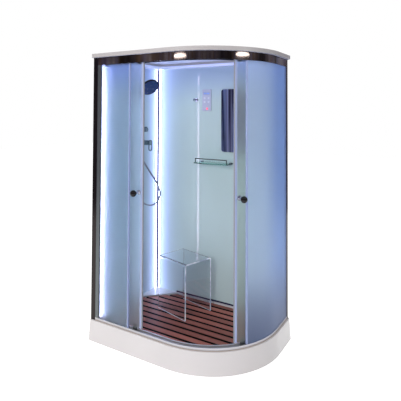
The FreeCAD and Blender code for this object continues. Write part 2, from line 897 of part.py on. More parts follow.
def make_bracket():
    """A bracket on the door's inner face, with the roller's axle."""
    face = "-(door_inset + glass_thick)"
    plate = box(
        (f"{face} - bracket_thick", face), ("-bracket_width/2", "bracket_width/2"),
        ("door_top - bracket_overlap", "wheel_z + axle_shoulder"),
    )
    centre = (0, "wheel_z")
    head_face = "-(wheel_inset + wheel_width) - axle_side_play"
    shoulder = round_bar("x", centre, "axle_shoulder", "-wheel_inset + axle_side_play", face)
    pin = round_bar("x", centre, "axle_radius", f"{head_face} - axle_head_thick", face)
    head = round_bar("x", centre, "axle_head", f"{head_face} - axle_head_thick", head_face)
    return group(fuse(plate, shoulder, pin, head))


def make_shoe():
    """A guide shoe under the door, which runs between the bottom rail's groove and guide."""
    glass = "-door_inset"
    face = "-(door_inset + glass_thick)"
    block = box(
        ("-guide_inset + shoe_play", glass), ("-shoe_width/2", "shoe_width/2"),
        ("door_bottom - shoe_drop", "door_bottom"),
    )
    cheek = box(
        ("-guide_inset + shoe_play", face), ("-shoe_width/2", "shoe_width/2"),
        ("door_bottom", "door_bottom + shoe_cheek"),
    )
    return group(fuse(block, cheek))


def make_knob_base():
    """A knob's flange, neck, bolt and nut."""
    face, inner = "-door_inset", "-(door_inset + glass_thick)"
    place = (0, "knob_height")
    return group(fuse(
        round_bar("x", place, "knob_flange_radius", face, f"{face} + knob_flange_thick",
                  "knob_flange_radius*4/5"),
        round_bar("x", place, "knob_neck_radius", face, f"{face} + knob_reach"),
        round_bar("x", place, "knob_bolt_radius", f"{inner} - knob_nut_length", face),
        round_bar("x", place, "knob_nut_radius", f"{inner} - knob_nut_length", inner),
    ))


def make_knob_ball():
    """A knob's ball."""
    return group(ball(("-door_inset + knob_reach", 0, "knob_height"), "knob_ball_radius"))


def make_door(side):
    """One door: glass, leading stile, brackets and shoes, two rollers, and the knob."""
    width = door_width(side)
    bite = "stile_width - stile_bite"
    pane = door_strip(side, "door_inset", "glass_thick", bite, width, "door_bottom", "door_top")
    bore = round_bar("x", (0, "knob_height"), "knob_bolt_radius + glass_slack", "-(door_inset + cut_over)",
                     "cut_over")
    glass = named(f"door_glass_{side}", cut(pane, on_door(side, "knob_margin", group(bore))))
    block = door_strip(side, "door_inset - stile_cover", "glass_thick + 2*stile_cover", 0, "stile_width",
                       "door_bottom", "door_top")
    slot = door_strip(side, "door_inset", "glass_thick", bite, "stile_width + cut_over",
                      "door_bottom - cut_over", "door_top + cut_over")
    named(f"door_stile_{side}", cut(block, slot))
    hardware = []
    for end, distance in (("lead", "fitting_margin"), ("tail", f"{width} - fitting_tail_margin")):
        hardware.append(on_door(side, distance, make_bracket()))
        named(f"roller_{side}_{end}", on_door(side, distance, make_wheel()))
    for distance in ("shoe_lead_margin", f"{width} - shoe_tail_margin"):
        hardware.append(on_door(side, distance, make_shoe()))
    named(f"door_brackets_{side}", cut(group(*hardware), glass))
    sphere = named(f"knob_ball_{side}", on_door(side, "knob_margin", make_knob_ball()))
    named(f"knob_base_{side}", cut(on_door(side, "knob_margin", make_knob_base()), sphere, glass))


def make_roof():
    """A vacuum-formed roof: outer rim, a sunk border over the walls and a raised middle."""
    outer = even_slab("-roof_over", "header_top", "roof_top", "roof_corner")
    left, back = "wall_x + ceiling_space", "wall_y - ceiling_space"
    drop = slab("ceiling_inset", left, back, "ceiling_bottom", "roof_top", ["ceiling_corner"] * 3)
    rim_hollow = cut(
        even_slab("roof_sheet - roof_over", "header_top - cut_over", "roof_top - roof_sheet", "roof_corner"),
        even_slab("roof_ring", "header_top - 2*cut_over", "roof_top", "roof_corner"),
    )
    sheet_in = "roof_sheet"
    trough = slab(
        f"ceiling_inset + {sheet_in}", f"{left} + {sheet_in}", f"{back} - {sheet_in}",
        f"ceiling_bottom + {sheet_in}", "roof_top + cut_over", ["ceiling_corner"] * 3,
    )
    sides = ("ceiling_inset + ceiling_border", "wall_x + ceiling_border", "wall_y - ceiling_border")
    middle = slab(*sides, "ceiling_bottom", "ceiling_middle", ["ceiling_border"] * 3)
    under = slab(
        f"{sides[0]} + {sheet_in}", f"{sides[1]} + {sheet_in}", f"{sides[2]} - {sheet_in}",
        "ceiling_bottom - cut_over", f"ceiling_middle - {sheet_in}", ["ceiling_border"] * 3,
    )
    fan_hole = round_bar("z", ("fan_right", "fan_back"), "fan_mouth", "ceiling_bottom",
                         "roof_top + cut_over")
    shell = cut(fuse(outer, drop), rim_hollow, trough)
    named("roof", cut(fuse(shell, middle), under, fan_hole))
    place = ("-lamp_left", "-lamp_front")
    plate = f"ceiling_middle - {sheet_in}"
    named("lamp_housing", round_bar("z", place, "lamp_radius", "ceiling_middle",
                                    "ceiling_middle + lamp_height", "lens_radius"))
    named("lamp_lens", round_bar("z", place, "lens_radius - lens_proud", f"{plate} - lens_proud", plate,
                                 "lens_radius"))


def make_fan():
    """The roof fan: a cup with a grille, a motor with its shaft, and the rotor."""
    place = ("fan_right", "fan_back")
    foot = "ceiling_middle"
    top = f"{foot} + fan_height"
    cup = cut(
        round_bar("z", place, "fan_radius", foot, top),
        round_bar("z", place, "fan_radius - fan_wall", f"{foot} - cut_over", f"{top} - fan_wall"),
    )
    motor = round_bar("z", place, "motor_radius", f"{top} - fan_wall - motor_height", top)
    shaft_low = f"{top} - fan_wall - motor_height - fan_shaft_length"
    shaft = round_bar("z", place, "fan_shaft_radius", shaft_low, top)
    thick = (foot, f"{foot} + grille_thick")
    long_bar = ("fan_right - fan_radius + fan_wall/2", "fan_right + fan_radius - fan_wall/2")
    deep_bar = ("fan_back - fan_radius + fan_wall/2", "fan_back + fan_radius - fan_wall/2")
    bars = [
        box(long_bar, ("fan_back - grille_bar/2", "fan_back + grille_bar/2"), thick),
        box(("fan_right - grille_bar/2", "fan_right + grille_bar/2"), deep_bar, thick),
    ]
    named("fan_housing", fuse(cup, motor, shaft, *bars))
    hub_low = f"{shaft_low} + fan_play"
    hub_high = f"{hub_low} + fan_hub_height"
    blades = []
    for step in range(int(SIZES["fan_blades"])):
        blade = doc.addObject("Part::Box", "blade")
        bind(blade, Length="fan_blade_radius", Width="fan_blade_thick", Height="fan_blade_height",
             Placement__Base__z=hub_low + " + fan_play")
        blades.append(put(group(blade), "fan_right", "fan_back", 0, f"{step}*360/fan_blades"))
    hub = round_bar("z", place, "fan_hub_radius", hub_low, hub_high)
    bore = round_bar("z", place, "fan_shaft_radius + axle_play", f"{hub_low} - cut_over",
                     f"{hub_high} + cut_over")
    named("fan_rotor", cut(fuse(hub, *blades), bore))


def make_mixer():
    """The mixer's body, turning cap and loop lever, the diverter, and the valve behind the wall."""
    seat = ("fittings_back", "mixer_height")
    plate_end = "wall_x + mixer_plate_thick"
    behind = "wall_x - glass_thick - wall_gap"
    named("mixer_body", fuse(
        round_bar("x", seat, "mixer_plate_radius", "wall_x", plate_end, "mixer_plate_radius*4/5"),
        round_bar("x", seat, "mixer_body_radius", "wall_x", "cap_start"),
        round_bar("x", seat, "mixer_stem_radius", behind, "wall_x"),
    ))
    cap_low = "cap_start + cap_play"
    cap_high = f"{cap_low} + cap_length"
    slot = box(
        (f"{cap_high} - lever_tongue_reach", f"{cap_high} + cut_over"),
        ("fittings_back - cap_slot/2", "fittings_back + cap_slot/2"),
        ("mixer_height - cap_radius - cut_over", "mixer_height + cap_radius + cut_over"),
    )
    pin_x = f"({cap_high} - lever_tongue_reach/2)"
    pin = round_bar("y", (pin_x, "mixer_height"), "lever_pin_radius", "fittings_back - cap_slot",
                    "fittings_back + cap_slot")
    cap = round_bar("x", seat, "cap_radius", cap_low, cap_high, "cap_radius*9/10")
    named("mixer_cap", fuse(cut(cap, slot), pin))
    plane = (f"{cap_high} + lever_gap", f"{cap_high} + lever_gap + lever_thick")
    round_top = "mixer_height + lever_rise - lever_width/2"
    round_low = "mixer_height - lever_drop + lever_width/2"

    def stadium(width, depth):
        return fuse(
            round_bar("x", ("fittings_back", round_top), f"({width})/2", *depth),
            round_bar("x", ("fittings_back", round_low), f"({width})/2", *depth),
            box(depth, (f"fittings_back - ({width})/2", f"fittings_back + ({width})/2"),
                (round_low, round_top)),
        )

    loop = cut(
        stadium("lever_width", plane),
        stadium("lever_width - 2*lever_bar", (f"{plane[0]} - cut_over", f"{plane[1]} + cut_over")),
    )
    boss = round_bar("x", ("fittings_back", "mixer_height"), "lever_width/2 - lever_bar/2", *plane)
    tongue_thick = ("fittings_back - lever_tongue/2", "fittings_back + lever_tongue/2")
    tongue_half = "(lever_tongue_reach/2 - cap_play)"
    tongue_end = round_bar("y", (pin_x, "mixer_height"), tongue_half, *tongue_thick)
    tongue = box((pin_x, plane[0]), tongue_thick,
                 (f"mixer_height - {tongue_half}", f"mixer_height + {tongue_half}"))
    pin_bore = round_bar("y", (pin_x, "mixer_height"), "lever_pin_radius + lever_pin_play",
                         "fittings_back - cut_over", "fittings_back + cut_over")
    named("mixer_lever", cut(fuse(loop, boss, tongue, tongue_end), pin_bore))

    seat = ("fittings_back", "knob_plate_height")
    front = "wall_x + knob_plate_thick"
    stem_end = f"{front} + diverter_length/2"
    named("diverter_plate", fuse(
        round_bar("x", seat, "knob_plate_radius", "wall_x", front, "knob_plate_radius*4/5"),
        round_bar("x", seat, "mixer_stem_radius", behind, "wall_x"),
        round_bar("x", seat, "diverter_stem_radius", "wall_x", stem_end),
    ))
    knob = fuse(
        round_bar("x", seat, "diverter_radius", f"{front} + cap_play", f"{front} + diverter_length",
                  "diverter_radius*9/10"),
        box((f"{front} + diverter_length/3", f"{front} + diverter_length"),
            ("fittings_back - diverter_nib/2", "fittings_back + diverter_nib/2"),
            ("knob_plate_height", "knob_plate_height + diverter_radius + diverter_nib")),
    )
    bore = round_bar("x", seat, "diverter_stem_radius + diverter_play", "wall_x", f"{stem_end} + cap_play")
    named("diverter_knob", cut(knob, bore))

    depth = (f"{behind} - valve_depth + wall_gap", behind)
    block = box(depth, ("fittings_back - valve_width/2", "fittings_back + valve_width/2"),
                ("mixer_height - valve_margin", "knob_plate_height + valve_margin"))
    pipe_x = f"({depth[0]} + valve_depth/2)"
    down = round_bar("z", (pipe_x, "fittings_back"), "pipe_radius", "outlet_height", "mixer_height")
    along = round_bar("y", (pipe_x, "outlet_height"), "pipe_radius", "-outlet_front", "fittings_back")
    bends = [ball((pipe_x, y, "outlet_height"), "pipe_radius") for y in ("-outlet_front", "fittings_back")]
    through = round_bar("x", ("-outlet_front", "outlet_height"), "pipe_radius", pipe_x, "wall_x")
    inlets = [
        round_bar("z", (pipe_x, f"fittings_back {sign} valve_width/2 {back} pipe_radius"), "inlet_radius",
                  "mixer_height - valve_margin - inlet_length", "mixer_height")
        for sign, back in (("-", "+"), ("+", "-"))
    ]
    named("valve_body", fuse(block, down, along, *bends, through, *inlets))
    centre = "wall_x + outlet_reach"
    named("hose_outlet", fuse(
        round_bar("x", ("-outlet_front", "outlet_height"), "outlet_plate_radius", "wall_x",
                  "wall_x + outlet_plate_thick"),
        round_bar("x", ("-outlet_front", "outlet_height"), "outlet_radius", "wall_x", centre),
        ball((centre, "-outlet_front", "outlet_height"), "outlet_radius"),
        round_bar("z", (centre, "-outlet_front"), "outlet_radius", "outlet_height - outlet_drop",
                  "outlet_height"),
    ))


# The way the handset's face looks, and its handle's way from the head to the tail.
FACE_SHARES = (0.693, -0.295, -0.658)
HANDLE_SHARES = (-0.517, -0.328, -0.79)


def handset_axes():
    """The face's centre and direction, and the handle's start and direction."""
    face = Vector(*FACE_SHARES).normalize()
    centre = Vector(size("wall_x + head_out"), size("head_back"), size("head_height"))
    return centre, face, centre - face * size("handle_behind"), Vector(*HANDLE_SHARES).normalize()


def shape_of(label, shape):
    """A sub-part whose shape is set at once, because it lies askew."""
    made = doc.addObject("Part::Feature", label)
    made.Shape = shape
    return named(label, made)


def make_handset():
    """The handset in its wall holder. Its handle lies askew, so both are made on its own axis."""
    centre, face, start, along = handset_axes()
    radius, thick, dome = size("head_radius"), size("head_thick"), size("head_dome")
    handle, length = size("handle_radius"), size("handle_length")
    disc = Part.makeCylinder(radius, thick, centre - face * thick, face)
    back = Part.makeCone(size("head_crown_radius"), radius, dome, centre - face * (thick + dome), face)
    bar = Part.makeCylinder(handle, length, start, along)
    nut = Part.makeCylinder(size("nut_radius"), size("nut_length"), start + along * length, along)
    shape_of("handset", disc.fuse([back, bar, nut]).removeSplitter())
    seat = start + along * size("holder_along")
    reach = size("holder_length")
    hole, outside = handle + size("holder_play"), handle + size("holder_play") + size("holder_wall")
    bore = Part.makeCylinder(hole, reach + 2 * length, seat - along * (reach / 2 + length), along)
    socket = Part.makeCylinder(outside, reach, seat - along * (reach / 2), along)
    out = Vector(1, 0, 0)
    foot = Vector(size("wall_x"), seat.y, seat.z)
    plate = Part.makeCylinder(size("holder_plate_radius"), size("holder_plate_thick"), foot, out)
    arm = Part.makeCylinder(size("holder_arm_radius"), seat.x - foot.x, foot, out)
    shape_of("handset_holder", plate.fuse([arm, socket]).cut(bore).removeSplitter())


def round_corners(points):
    """Straight runs joined by tangent arcs, as large as the two runs at each point allow."""
    edges, radii, here = [], [], points[0]
    for before, corner, after in zip(points, points[1:], points[2:]):
        inward, onward = before - corner, after - corner
        run = min(inward.Length, onward.Length)
        inward.normalize()
        onward.normalize()
        half = (math.pi - inward.getAngle(onward)) / 2
        back = RUN_SHARE * run
        radii.append(back / math.tan(half))
        first, last = corner + inward * back, corner + onward * back
        middle_way = (inward + onward).normalize()
        centre = corner + middle_way * (back / math.sin(half))
        middle = centre - middle_way * radii[-1]
        edges.append(Part.LineSegment(here, first).toShape())
        edges.append(Part.Arc(first, middle, last).toShape())
        here = last
    edges.append(Part.LineSegment(here, points[-1]).toShape())
    return Part.Wire(edges), radii


RUN_SHARE = 0.45


def make_hose():
    """The hose from the handset's nut round its loop and up to the outlet."""
    handle_start, along = handset_axes()[2:]
    start = handle_start + along * (size("handle_length") + size("nut_length"))
    end = Vector(size("wall_x + outlet_reach"), -size("outlet_front"), size("outlet_height - outlet_drop"))
    points = [start, start + along * size("hose_start_run")]
    foot = Vector(size("wall_x"), 0, size("outlet_height"))
    drop = points[-1].z - foot.z
    points += [foot + Vector(out, back, share * drop) for out, back, share in HOSE_ROUTE]
    points += [end - Vector(0, 0, size("hose_end_run")), end]
    route, radii = round_corners(points)
    ring = Part.Wire(Part.makeCircle(size("hose_radius"), start, route.Edges[0].tangentAt(0)))
    tube = route.makePipe(Part.Face(ring))
    told = math.pi * size("hose_radius") ** 2 * route.Length
    print("hose length %.0f, least radius %.0f" % (route.Length, min(radii)))
    print("hose volume, as a share of its section times its length, %.4f" % (tube.Volume / told))
    print("hose runs", [round((b - a).Length) for a, b in zip(points, points[1:])])
    print("hose radii", [round(radius) for radius in radii])
    shape_of("hose", tube)


def make_back_wall_fittings():
    """Robe hook, control panel with its button, mirror on studs, and the glass shelf with its rail."""
    place = ("-hook_left", "hook_height")
    plate = "wall_y - hook_plate_thick"
    tip = "wall_y - hook_reach"
    named("robe_hook", fuse(
        round_bar("y", place, "hook_plate_radius", plate, "wall_y"),
        round_bar("y", place, "hook_stem_radius", tip, "wall_y"),
        ball(("-hook_left", tip, "hook_height"), "hook_ball_radius"),
    ))
    x0, x1 = "-panel_left", "-panel_left + panel_width"
    z0, z1 = "panel_bottom", "panel_bottom + panel_height"
    button = (f"{x0} + button_right_of_edge", f"{z0} + button_up")
    face = "wall_y - panel_thick"
    well = round_bar("y", button, "button_radius + button_play", f"{face} - cut_over",
                     f"{face} + button_length + 2*button_proud")
    named("control_panel", cut(rounded_plate((x0, x1), (z0, z1), face, "wall_y", "panel_corner"), well))
    named("power_button", round_bar("y", button, "button_radius", f"{face} - button_proud",
                                    f"{face} + button_length"))
    x0, x1 = "mirror_start", "mirror_start + mirror_width"
    z0, z1 = "mirror_bottom", "mirror_bottom + mirror_height"
    back = "wall_y - stud_length"
    named("mirror", rounded_plate((x0, x1), (z0, z1), f"{back} - mirror_thick", back, "mirror_corner"))
    studs = [
        round_bar("y", (x, z), "stud_radius", back, "wall_y")
        for x in (f"{x0} + stud_margin", f"{x1} - stud_margin")
        for z in (f"{z0} + stud_margin", f"{z1} - stud_margin")
    ]
    named("mirror_studs", group(*studs))
    x0, x1 = "-shelf_left", "-shelf_left + shelf_width"
    near = "wall_y - shelf_space - shelf_depth"
    top = "shelf_height + shelf_thick"
    named("shelf_glass", box((x0, x1), (near, "wall_y - shelf_space"), ("shelf_height", top)))
    clamps = []
    for x in (f"{x0} + shelf_margin", f"{x1} - shelf_margin"):
        span = (f"{x} - clamp_width/2", f"{x} + clamp_width/2")
        body = box(span, ("wall_y - clamp_reach", "wall_y"),
                   ("shelf_height - clamp_thick", f"{top} + clamp_thick/2"))
        mouth = box((x0, x1), (near, "wall_y - shelf_space"), ("shelf_height", top))
        clamps.append(cut(body, mouth))
    named("shelf_brackets", group(*clamps))
    rail_y, rail_z = f"{near} + shelf_rail_inset", f"{top} + shelf_rail_rise"
    ends = (f"{x0} + shelf_rail_margin", f"{x1} - shelf_rail_margin")
    rails = [round_bar("x", (rail_y, rail_z), "shelf_rail_radius", *ends)]
    for x in ends:
        rails.append(round_bar("z", (x, rail_y), "shelf_rail_radius", top, rail_z))
        rails.append(ball((x, rail_y, rail_z), "shelf_rail_radius"))
    named("shelf_rail", fuse(*rails))


def rounded_plate(x, z, near, far, corner):
    """An upright plate on the back wall with rounded corners."""
    low_x, high_x = x
    low_z, high_z = z
    parts = [
        box((f"{low_x} + {corner}", f"{high_x} - {corner}"), (near, far), (low_z, high_z)),
        box((low_x, high_x), (near, far), (f"{low_z} + {corner}", f"{high_z} - {corner}")),
    ]
    for place in (f"{low_x} + {corner}", f"{high_x} - {corner}"):
        for height in (f"{low_z} + {corner}", f"{high_z} - {corner}"):
            parts.append(round_bar("y", (place, height), corner, near, far))
    return fuse(*parts)


def make_stool():
    """A stool bent from one clear sheet: a seat with a leg panel at the front and at the back."""
    half, deep = "stool_length/2", "stool_depth/2"
    low, high = "deck_top", "stool_top"

    def arch(width, height, bend, overrun):
        across = (f"-{half} - {overrun}", f"{half} + {overrun}")
        foot = f"{low} - {overrun}"
        return fuse(
            box(across, (f"-({width})", width), (foot, f"{height} - {bend}")),
            box(across, (f"-({width}) + {bend}", f"{width} - {bend}"), (foot, height)),
            round_bar("x", (f"-({width}) + {bend}", f"{height} - {bend}"), bend, *across),
            round_bar("x", (f"{width} - {bend}", f"{height} - {bend}"), bend, *across),
        )

    whole = arch(deep, high, "stool_bend", "0")
    inside = arch(f"{deep} - stool_thick", f"{high} - stool_thick", "(stool_bend - stool_thick)", "cut_over")
    named("stool", put(group(cut(whole, inside)), "-stool_left", "stool_back", 0, "stool_turn"))


def make_underside():
    """Steel frame, levelling feet, drain trap and strainer."""
    height = ("frame_bottom", "frame_top")
    inner = ("frame_bottom + tube_wall", "frame_top - tube_wall")
    rails, hollows = [], []
    front = ("-frame_front - tube_side/2", "-frame_front + tube_side/2")
    back = ("frame_back - tube_side/2", "frame_back + tube_side/2")
    for depth, right in ((front, "frame_front_right"), (back, "frame_back_right")):
        rails.append(box(("-frame_left", right), depth, height))
        hollows.append(box(("-frame_left - cut_over", f"{right} + cut_over"),
                           (f"{depth[0]} + tube_wall", f"{depth[1]} - tube_wall"), inner))
    crossings = ("-cross_left", 0, "cross_right")
    for x in crossings:
        rails.append(box((f"{x} - tube_side/2", f"{x} + tube_side/2"), (front[1], back[0]), height))
        hollows.append(box((f"{x} - tube_side/2 + tube_wall", f"{x} + tube_side/2 - tube_wall"),
                           (front[1], back[0]), inner))
    named("support_frame", cut(fuse(*rails), *hollows))
    feet = []
    for x, y in [(0, 0)] + [(x, y) for x in crossings for y in ("-frame_front", "frame_back")]:
        feet.append(fuse(
            round_bar("z", (x, y), "foot_radius", 0, "foot_thick", "foot_radius*3/4"),
            round_bar("z", (x, y), "rod_radius", "foot_thick/2", "frame_bottom"),
            round_bar("z", (x, y), "locknut_radius", "frame_bottom - locknut_thick", "frame_bottom"),
        ))
    named("levelling_feet", group(*feet))
    place = ("drain_x", "drain_back")
    flange = "floor_height + trap_flange_thick"
    trap = fuse(
        round_bar("z", place, "trap_radius", "frame_top - trap_height", "frame_top"),
        round_bar("z", place, "drain_radius - trap_play", "frame_top", flange),
        round_bar("z", place, "drain_radius + trap_flange", "floor_height", flange),
        round_bar("y", ("drain_x", "spigot_height"), "spigot_radius", "drain_back", "back_y + skirt_flare"),
    )
    bores = [
        round_bar("z", place, "drain_radius - trap_play - trap_flange",
                  "frame_top - trap_height + spigot_wall*2", f"{flange} + cut_over"),
        round_bar("y", ("drain_x", "spigot_height"), "spigot_radius - spigot_wall", "drain_back",
                  "back_y + skirt_flare + cut_over"),
    ]
    named("drain_trap", cut(trap, *bores))
    holes = []
    for step in range(int(SIZES["strainer_holes"])):
        turn = f"{step}*360/strainer_holes"
        holes.append(round_bar(
            "z", (f"drain_x + strainer_ring*cos({turn})", f"drain_back + strainer_ring*sin({turn})"),
            "strainer_hole_radius", f"{flange} - cut_over", f"{flange} + cut_over",
        ))
    plate = round_bar("z", place, "strainer_radius", flange, f"{flange} + strainer_thick",
                      "strainer_radius*9/10")
    named("drain_strainer", cut(plate, *holes))


def check(made):
    """Stops the script where an object failed or a shape is not sound."""
    if "Invalid" in made.State or "Error" in made.State:
        raise RuntimeError(f"{made.Label} failed: {made.State}")


make_tray()
make_deck()
make_rails()
make_posts()
make_walls()
make_door("left")
make_door("right")
make_roof()
make_fan()
make_mixer()
make_handset()
make_hose()
make_back_wall_fittings()
make_stool()
make_underside()
sheet.clear(SPARE_CELL)
doc.recompute()

for thing in doc.Objects:
    check(thing)
os.makedirs("parts", exist_ok=True)
for piece in PIECES:
    shape = piece.Shape
    if shape.isNull() or not shape.isValid() or not shape.Solids:
        raise RuntimeError(f"{piece.Label} has no sound shape")
    shape.exportStep(f"parts/{piece.Label}.step")
print(len(PIECES), "pieces", len(doc.Objects), "objects")
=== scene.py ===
"""The looks of a shower cabin: finishes, lights and small parts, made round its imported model.

Metres, with +X along the long back wall, +Y towards it and +Z up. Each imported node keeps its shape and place.
"""

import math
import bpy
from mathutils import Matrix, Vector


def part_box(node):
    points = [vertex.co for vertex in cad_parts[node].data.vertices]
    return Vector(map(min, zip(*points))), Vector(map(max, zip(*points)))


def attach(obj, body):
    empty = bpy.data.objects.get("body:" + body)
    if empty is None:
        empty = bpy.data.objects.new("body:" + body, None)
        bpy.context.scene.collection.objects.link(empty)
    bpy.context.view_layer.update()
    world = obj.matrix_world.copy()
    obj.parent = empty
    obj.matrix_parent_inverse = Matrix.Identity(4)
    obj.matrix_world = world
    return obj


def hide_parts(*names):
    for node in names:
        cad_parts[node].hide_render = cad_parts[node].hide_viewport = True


bl_info = {
    "name": "Shower cabin",
    "version": (1, 0, 0),
    "blender": (4, 5, 0),
    "location": "3D View > Sidebar > Shower cabin",
    "description": "Dresses a shower cabin with a lit corner, satin glass, a slatted deck and its fittings",
    "category": "Object",
}

import bmesh
import bpy
from bpy.props import FloatProperty, FloatVectorProperty, IntProperty, PointerProperty
from mathutils import Matrix, Vector

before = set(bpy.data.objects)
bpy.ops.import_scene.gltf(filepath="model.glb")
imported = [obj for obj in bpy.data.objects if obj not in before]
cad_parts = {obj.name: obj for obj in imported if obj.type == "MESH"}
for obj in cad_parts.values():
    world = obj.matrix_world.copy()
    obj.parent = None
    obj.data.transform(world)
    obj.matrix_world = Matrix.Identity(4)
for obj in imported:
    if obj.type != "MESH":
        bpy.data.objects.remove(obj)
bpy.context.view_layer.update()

BEND_RADIUS = 0.55
BEND_CENTRE = (0.05, 0.15)
DOORS = ("left", "right")
UP = Vector((0, 0, 1))


def colour(name, default, text):
    """A colour that a user may change."""
    return FloatVectorProperty(name=name, description=text, default=default, subtype="COLOR",
                               size=3, min=0, max=1)


def length(name, default, text):
    """A length that a user may change."""
    return FloatProperty(name=name, description=text, default=default, subtype="DISTANCE", min=0)


def amount(name, default, text, least=0.0, **settings):
    """A plain number that a user may change."""
    return FloatProperty(name=name, description=text, default=default, min=least, **settings)


class CabinFinishes(bpy.types.PropertyGroup):
    """Colours of the cabin's surfaces and lights."""

    acrylic: colour("Acrylic", (0.74, 0.71, 0.715), "Tray and roof")
    # Painted reflection: this chrome is dark as if it mirrored a dark room.
    dark_chrome: colour("Dark chrome", (0.1, 0.082, 0.075), "Header and shelf rail")
    # Painted reflection: the posts' chrome is near black as if it mirrored a dark room.
    black_chrome: colour("Black chrome", (0.035, 0.03, 0.03), "Posts")
    rail_metal: colour("Rail metal", (0.5, 0.49, 0.51), "Bottom rail")
    chrome: colour("Chrome", (0.6, 0.62, 0.66), "Knobs, mirror studs, drain and the hose's nut")
    # Painted reflection: the fittings' chrome is dimmed as if it mirrored a dark room.
    smoked_chrome: colour("Smoked chrome", (0.3, 0.34, 0.38), "Wall fittings, brackets and hook")
    front_glass: colour("Front glass", (0.74, 0.87, 0.95), "Tint of the left pane and the doors")
    # Painted shade: the right pane turns to this deeper blue towards its back edge.
    side_pane_shade: colour("Side pane shade", (0.42, 0.62, 0.92), "Tint of the right pane towards its back edge")
    wall_glass: colour("Wall glass", (0.455, 0.57, 0.58), "Paint behind the wall glass")
    # Painted light and shade: the walls turn to this bluer, dimmer colour close under the roof.
    upper_wall_light: colour("Upper wall light", (0.4, 0.51, 0.68), "The same paint, close under the roof")
    # Painted light: the strips' lavender light on the roof's underside.
    ceiling: colour("Ceiling", (0.85, 0.88, 1.0), "Underside of the roof")
    deck_wood: colour("Deck wood", (0.38, 0.13, 0.095), "Slats of the deck")
    light: colour("Light", (0.62, 0.7, 1.0), "Light of the corner strips and the lamp")
    front_light: colour("Front light", (0.95, 0.74, 1.0), "Light of the front strip")
    glow: colour("Glow", (0.42, 0.5, 1.0), "Light in the wall glass beside a strip")
    glow_strength: amount("Glow strength", 1.4, "Brightness of that light")
    glow_reach: length("Glow reach", 0.06, "Distance over which that light fades")
    far_reach: length("Far reach", 1.0, "Distance over which its faint part fades")
    light_strength: amount("Strip strength", 14, "Brightness of the front strip")
    corner_share: amount("Corner share", 0.42, "The corner strips' part of that")
    lamp_strength: amount("Lamp strength", 4, "Brightness of the lamp")


class CabinDetails(bpy.types.PropertyGroup):
    """Sizes of the small parts."""

    hose_radius: length("Hose radius", 0.007, "Outer radius of the hose's spiral")
    hose_rib: length("Hose rib", 0.004, "Pitch of the hose's spiral")
    nozzle: length("Nozzle", 0.0016, "Radius of a nozzle at its root")
    # The sawn edges' brightness is a painted glow.
    sheet_edge: length("Sheet edge", 0.0005, "Thickness of the stool's bright sawn edge")
    bead: length("Sealant bead", 0.0015, "Radius of the sealant beads")
    hose_steps: IntProperty(name="Hose steps", description="Points along each stretch of the hose",
                            default=24, min=4)


class CabinStage(bpy.types.PropertyGroup):
    """Camera, floor and lamps."""

    lens: amount("Lens", 39.3, "Focal length in millimetres", 1)
    eye: FloatVectorProperty(name="Eye", description="The camera's place", default=(1.6006, -2.7616, 1.6126),
                             subtype="XYZ", unit="LENGTH")
    yaw: amount("Yaw", 0.563, "Turn to the left from +Y", -math.pi, subtype="ANGLE")
    pitch: amount("Pitch", 0.031, "Tilt upwards", -math.pi, subtype="ANGLE")
    roll: amount("Roll", 0.006, "Turn about the view", -math.pi, subtype="ANGLE")
    shift_x: amount("Shift X", 0.0644, "Share of the frame's width", -1)
    shift_y: amount("Shift Y", -0.2502, "Share of the frame's width", -1)
    floor: length("Floor", 30, "Side of the floor")
    world: amount("World", 0.45, "Light from all round")


# Shader node groups, each built once

FLOAT, VECTOR, COLOUR = "NodeSocketFloat", "NodeSocketVector", "NodeSocketColor"
FIRST_AND_SECOND = [("First", COLOUR, (0.5, 0.5, 0.5, 1)), ("Second", COLOUR, (0.4, 0.4, 0.4, 1))]


def new_group(name, inputs, results):
    """A shader group with its inputs. results makes from them what feeds each named output."""
    group = bpy.data.node_groups.new(name, "ShaderNodeTree")
    for title, kind, default in inputs:
        group.interface.new_socket(title, in_out="INPUT", socket_type=kind).default_value = default
    ins = group.nodes.new("NodeGroupInput").outputs
    made = results(group, ins)
    for title in made:
        kind = COLOUR if title == "Color" else FLOAT
        group.interface.new_socket(title, in_out="OUTPUT", socket_type=kind)
    outs = group.nodes.new("NodeGroupOutput").inputs
    for title, socket in made.items():
        group.links.new(socket, outs[title])
    return group


def node(tree, kind, inputs=(), output=0, **settings):
    """A node whose inputs, by name or number, are linked to sockets or set to values. Returns one output."""
    made = tree.nodes.new(kind)
    for name, value in settings.items():
        setattr(made, name, value)
    for place, value in dict(inputs).items():
        if isinstance(value, bpy.types.NodeSocket):
            tree.links.new(value, made.inputs[place])
        else:
            made.inputs[place].default_value = value
    return made.outputs[output]


def maths(tree, operation, *values):
    """A Math node fed in order."""
    return node(tree, "ShaderNodeMath", enumerate(values), operation=operation)


def vectors(tree, operation, *values, output=0):
    """A Vector Math node fed in order."""
    return node(tree, "ShaderNodeVectorMath", enumerate(values), output, operation=operation)


def scaled(tree, colour_in, share):
    """A colour times a number."""
    return node(tree, "ShaderNodeVectorMath", {0: colour_in, "Scale": share}, operation="SCALE")


def place_in(tree, output="Object"):
    """The place on the object, or its own normal."""
    return node(tree, "ShaderNodeTexCoord", output=output)


def coordinate(tree, axis, output="Object"):
    """One of the three numbers of the place, or of the normal."""
    return node(tree, "ShaderNodeSeparateXYZ", {0: place_in(tree, output)}, axis)


def along(tree, way, output="Object"):
    """How far the place lies, or the normal points, along a way."""
    return vectors(tree, "DOT_PRODUCT", place_in(tree, output), way, output="Value")


def ranged(tree, value, **ends):
    """A value taken from one range to another. ends says from_min, from_max, to_min or to_max."""
    inputs = {title.replace("_", " ").title(): end for title, end in ends.items()}
    return node(tree, "ShaderNodeMapRange", {"Value": value, **inputs}, "Result")


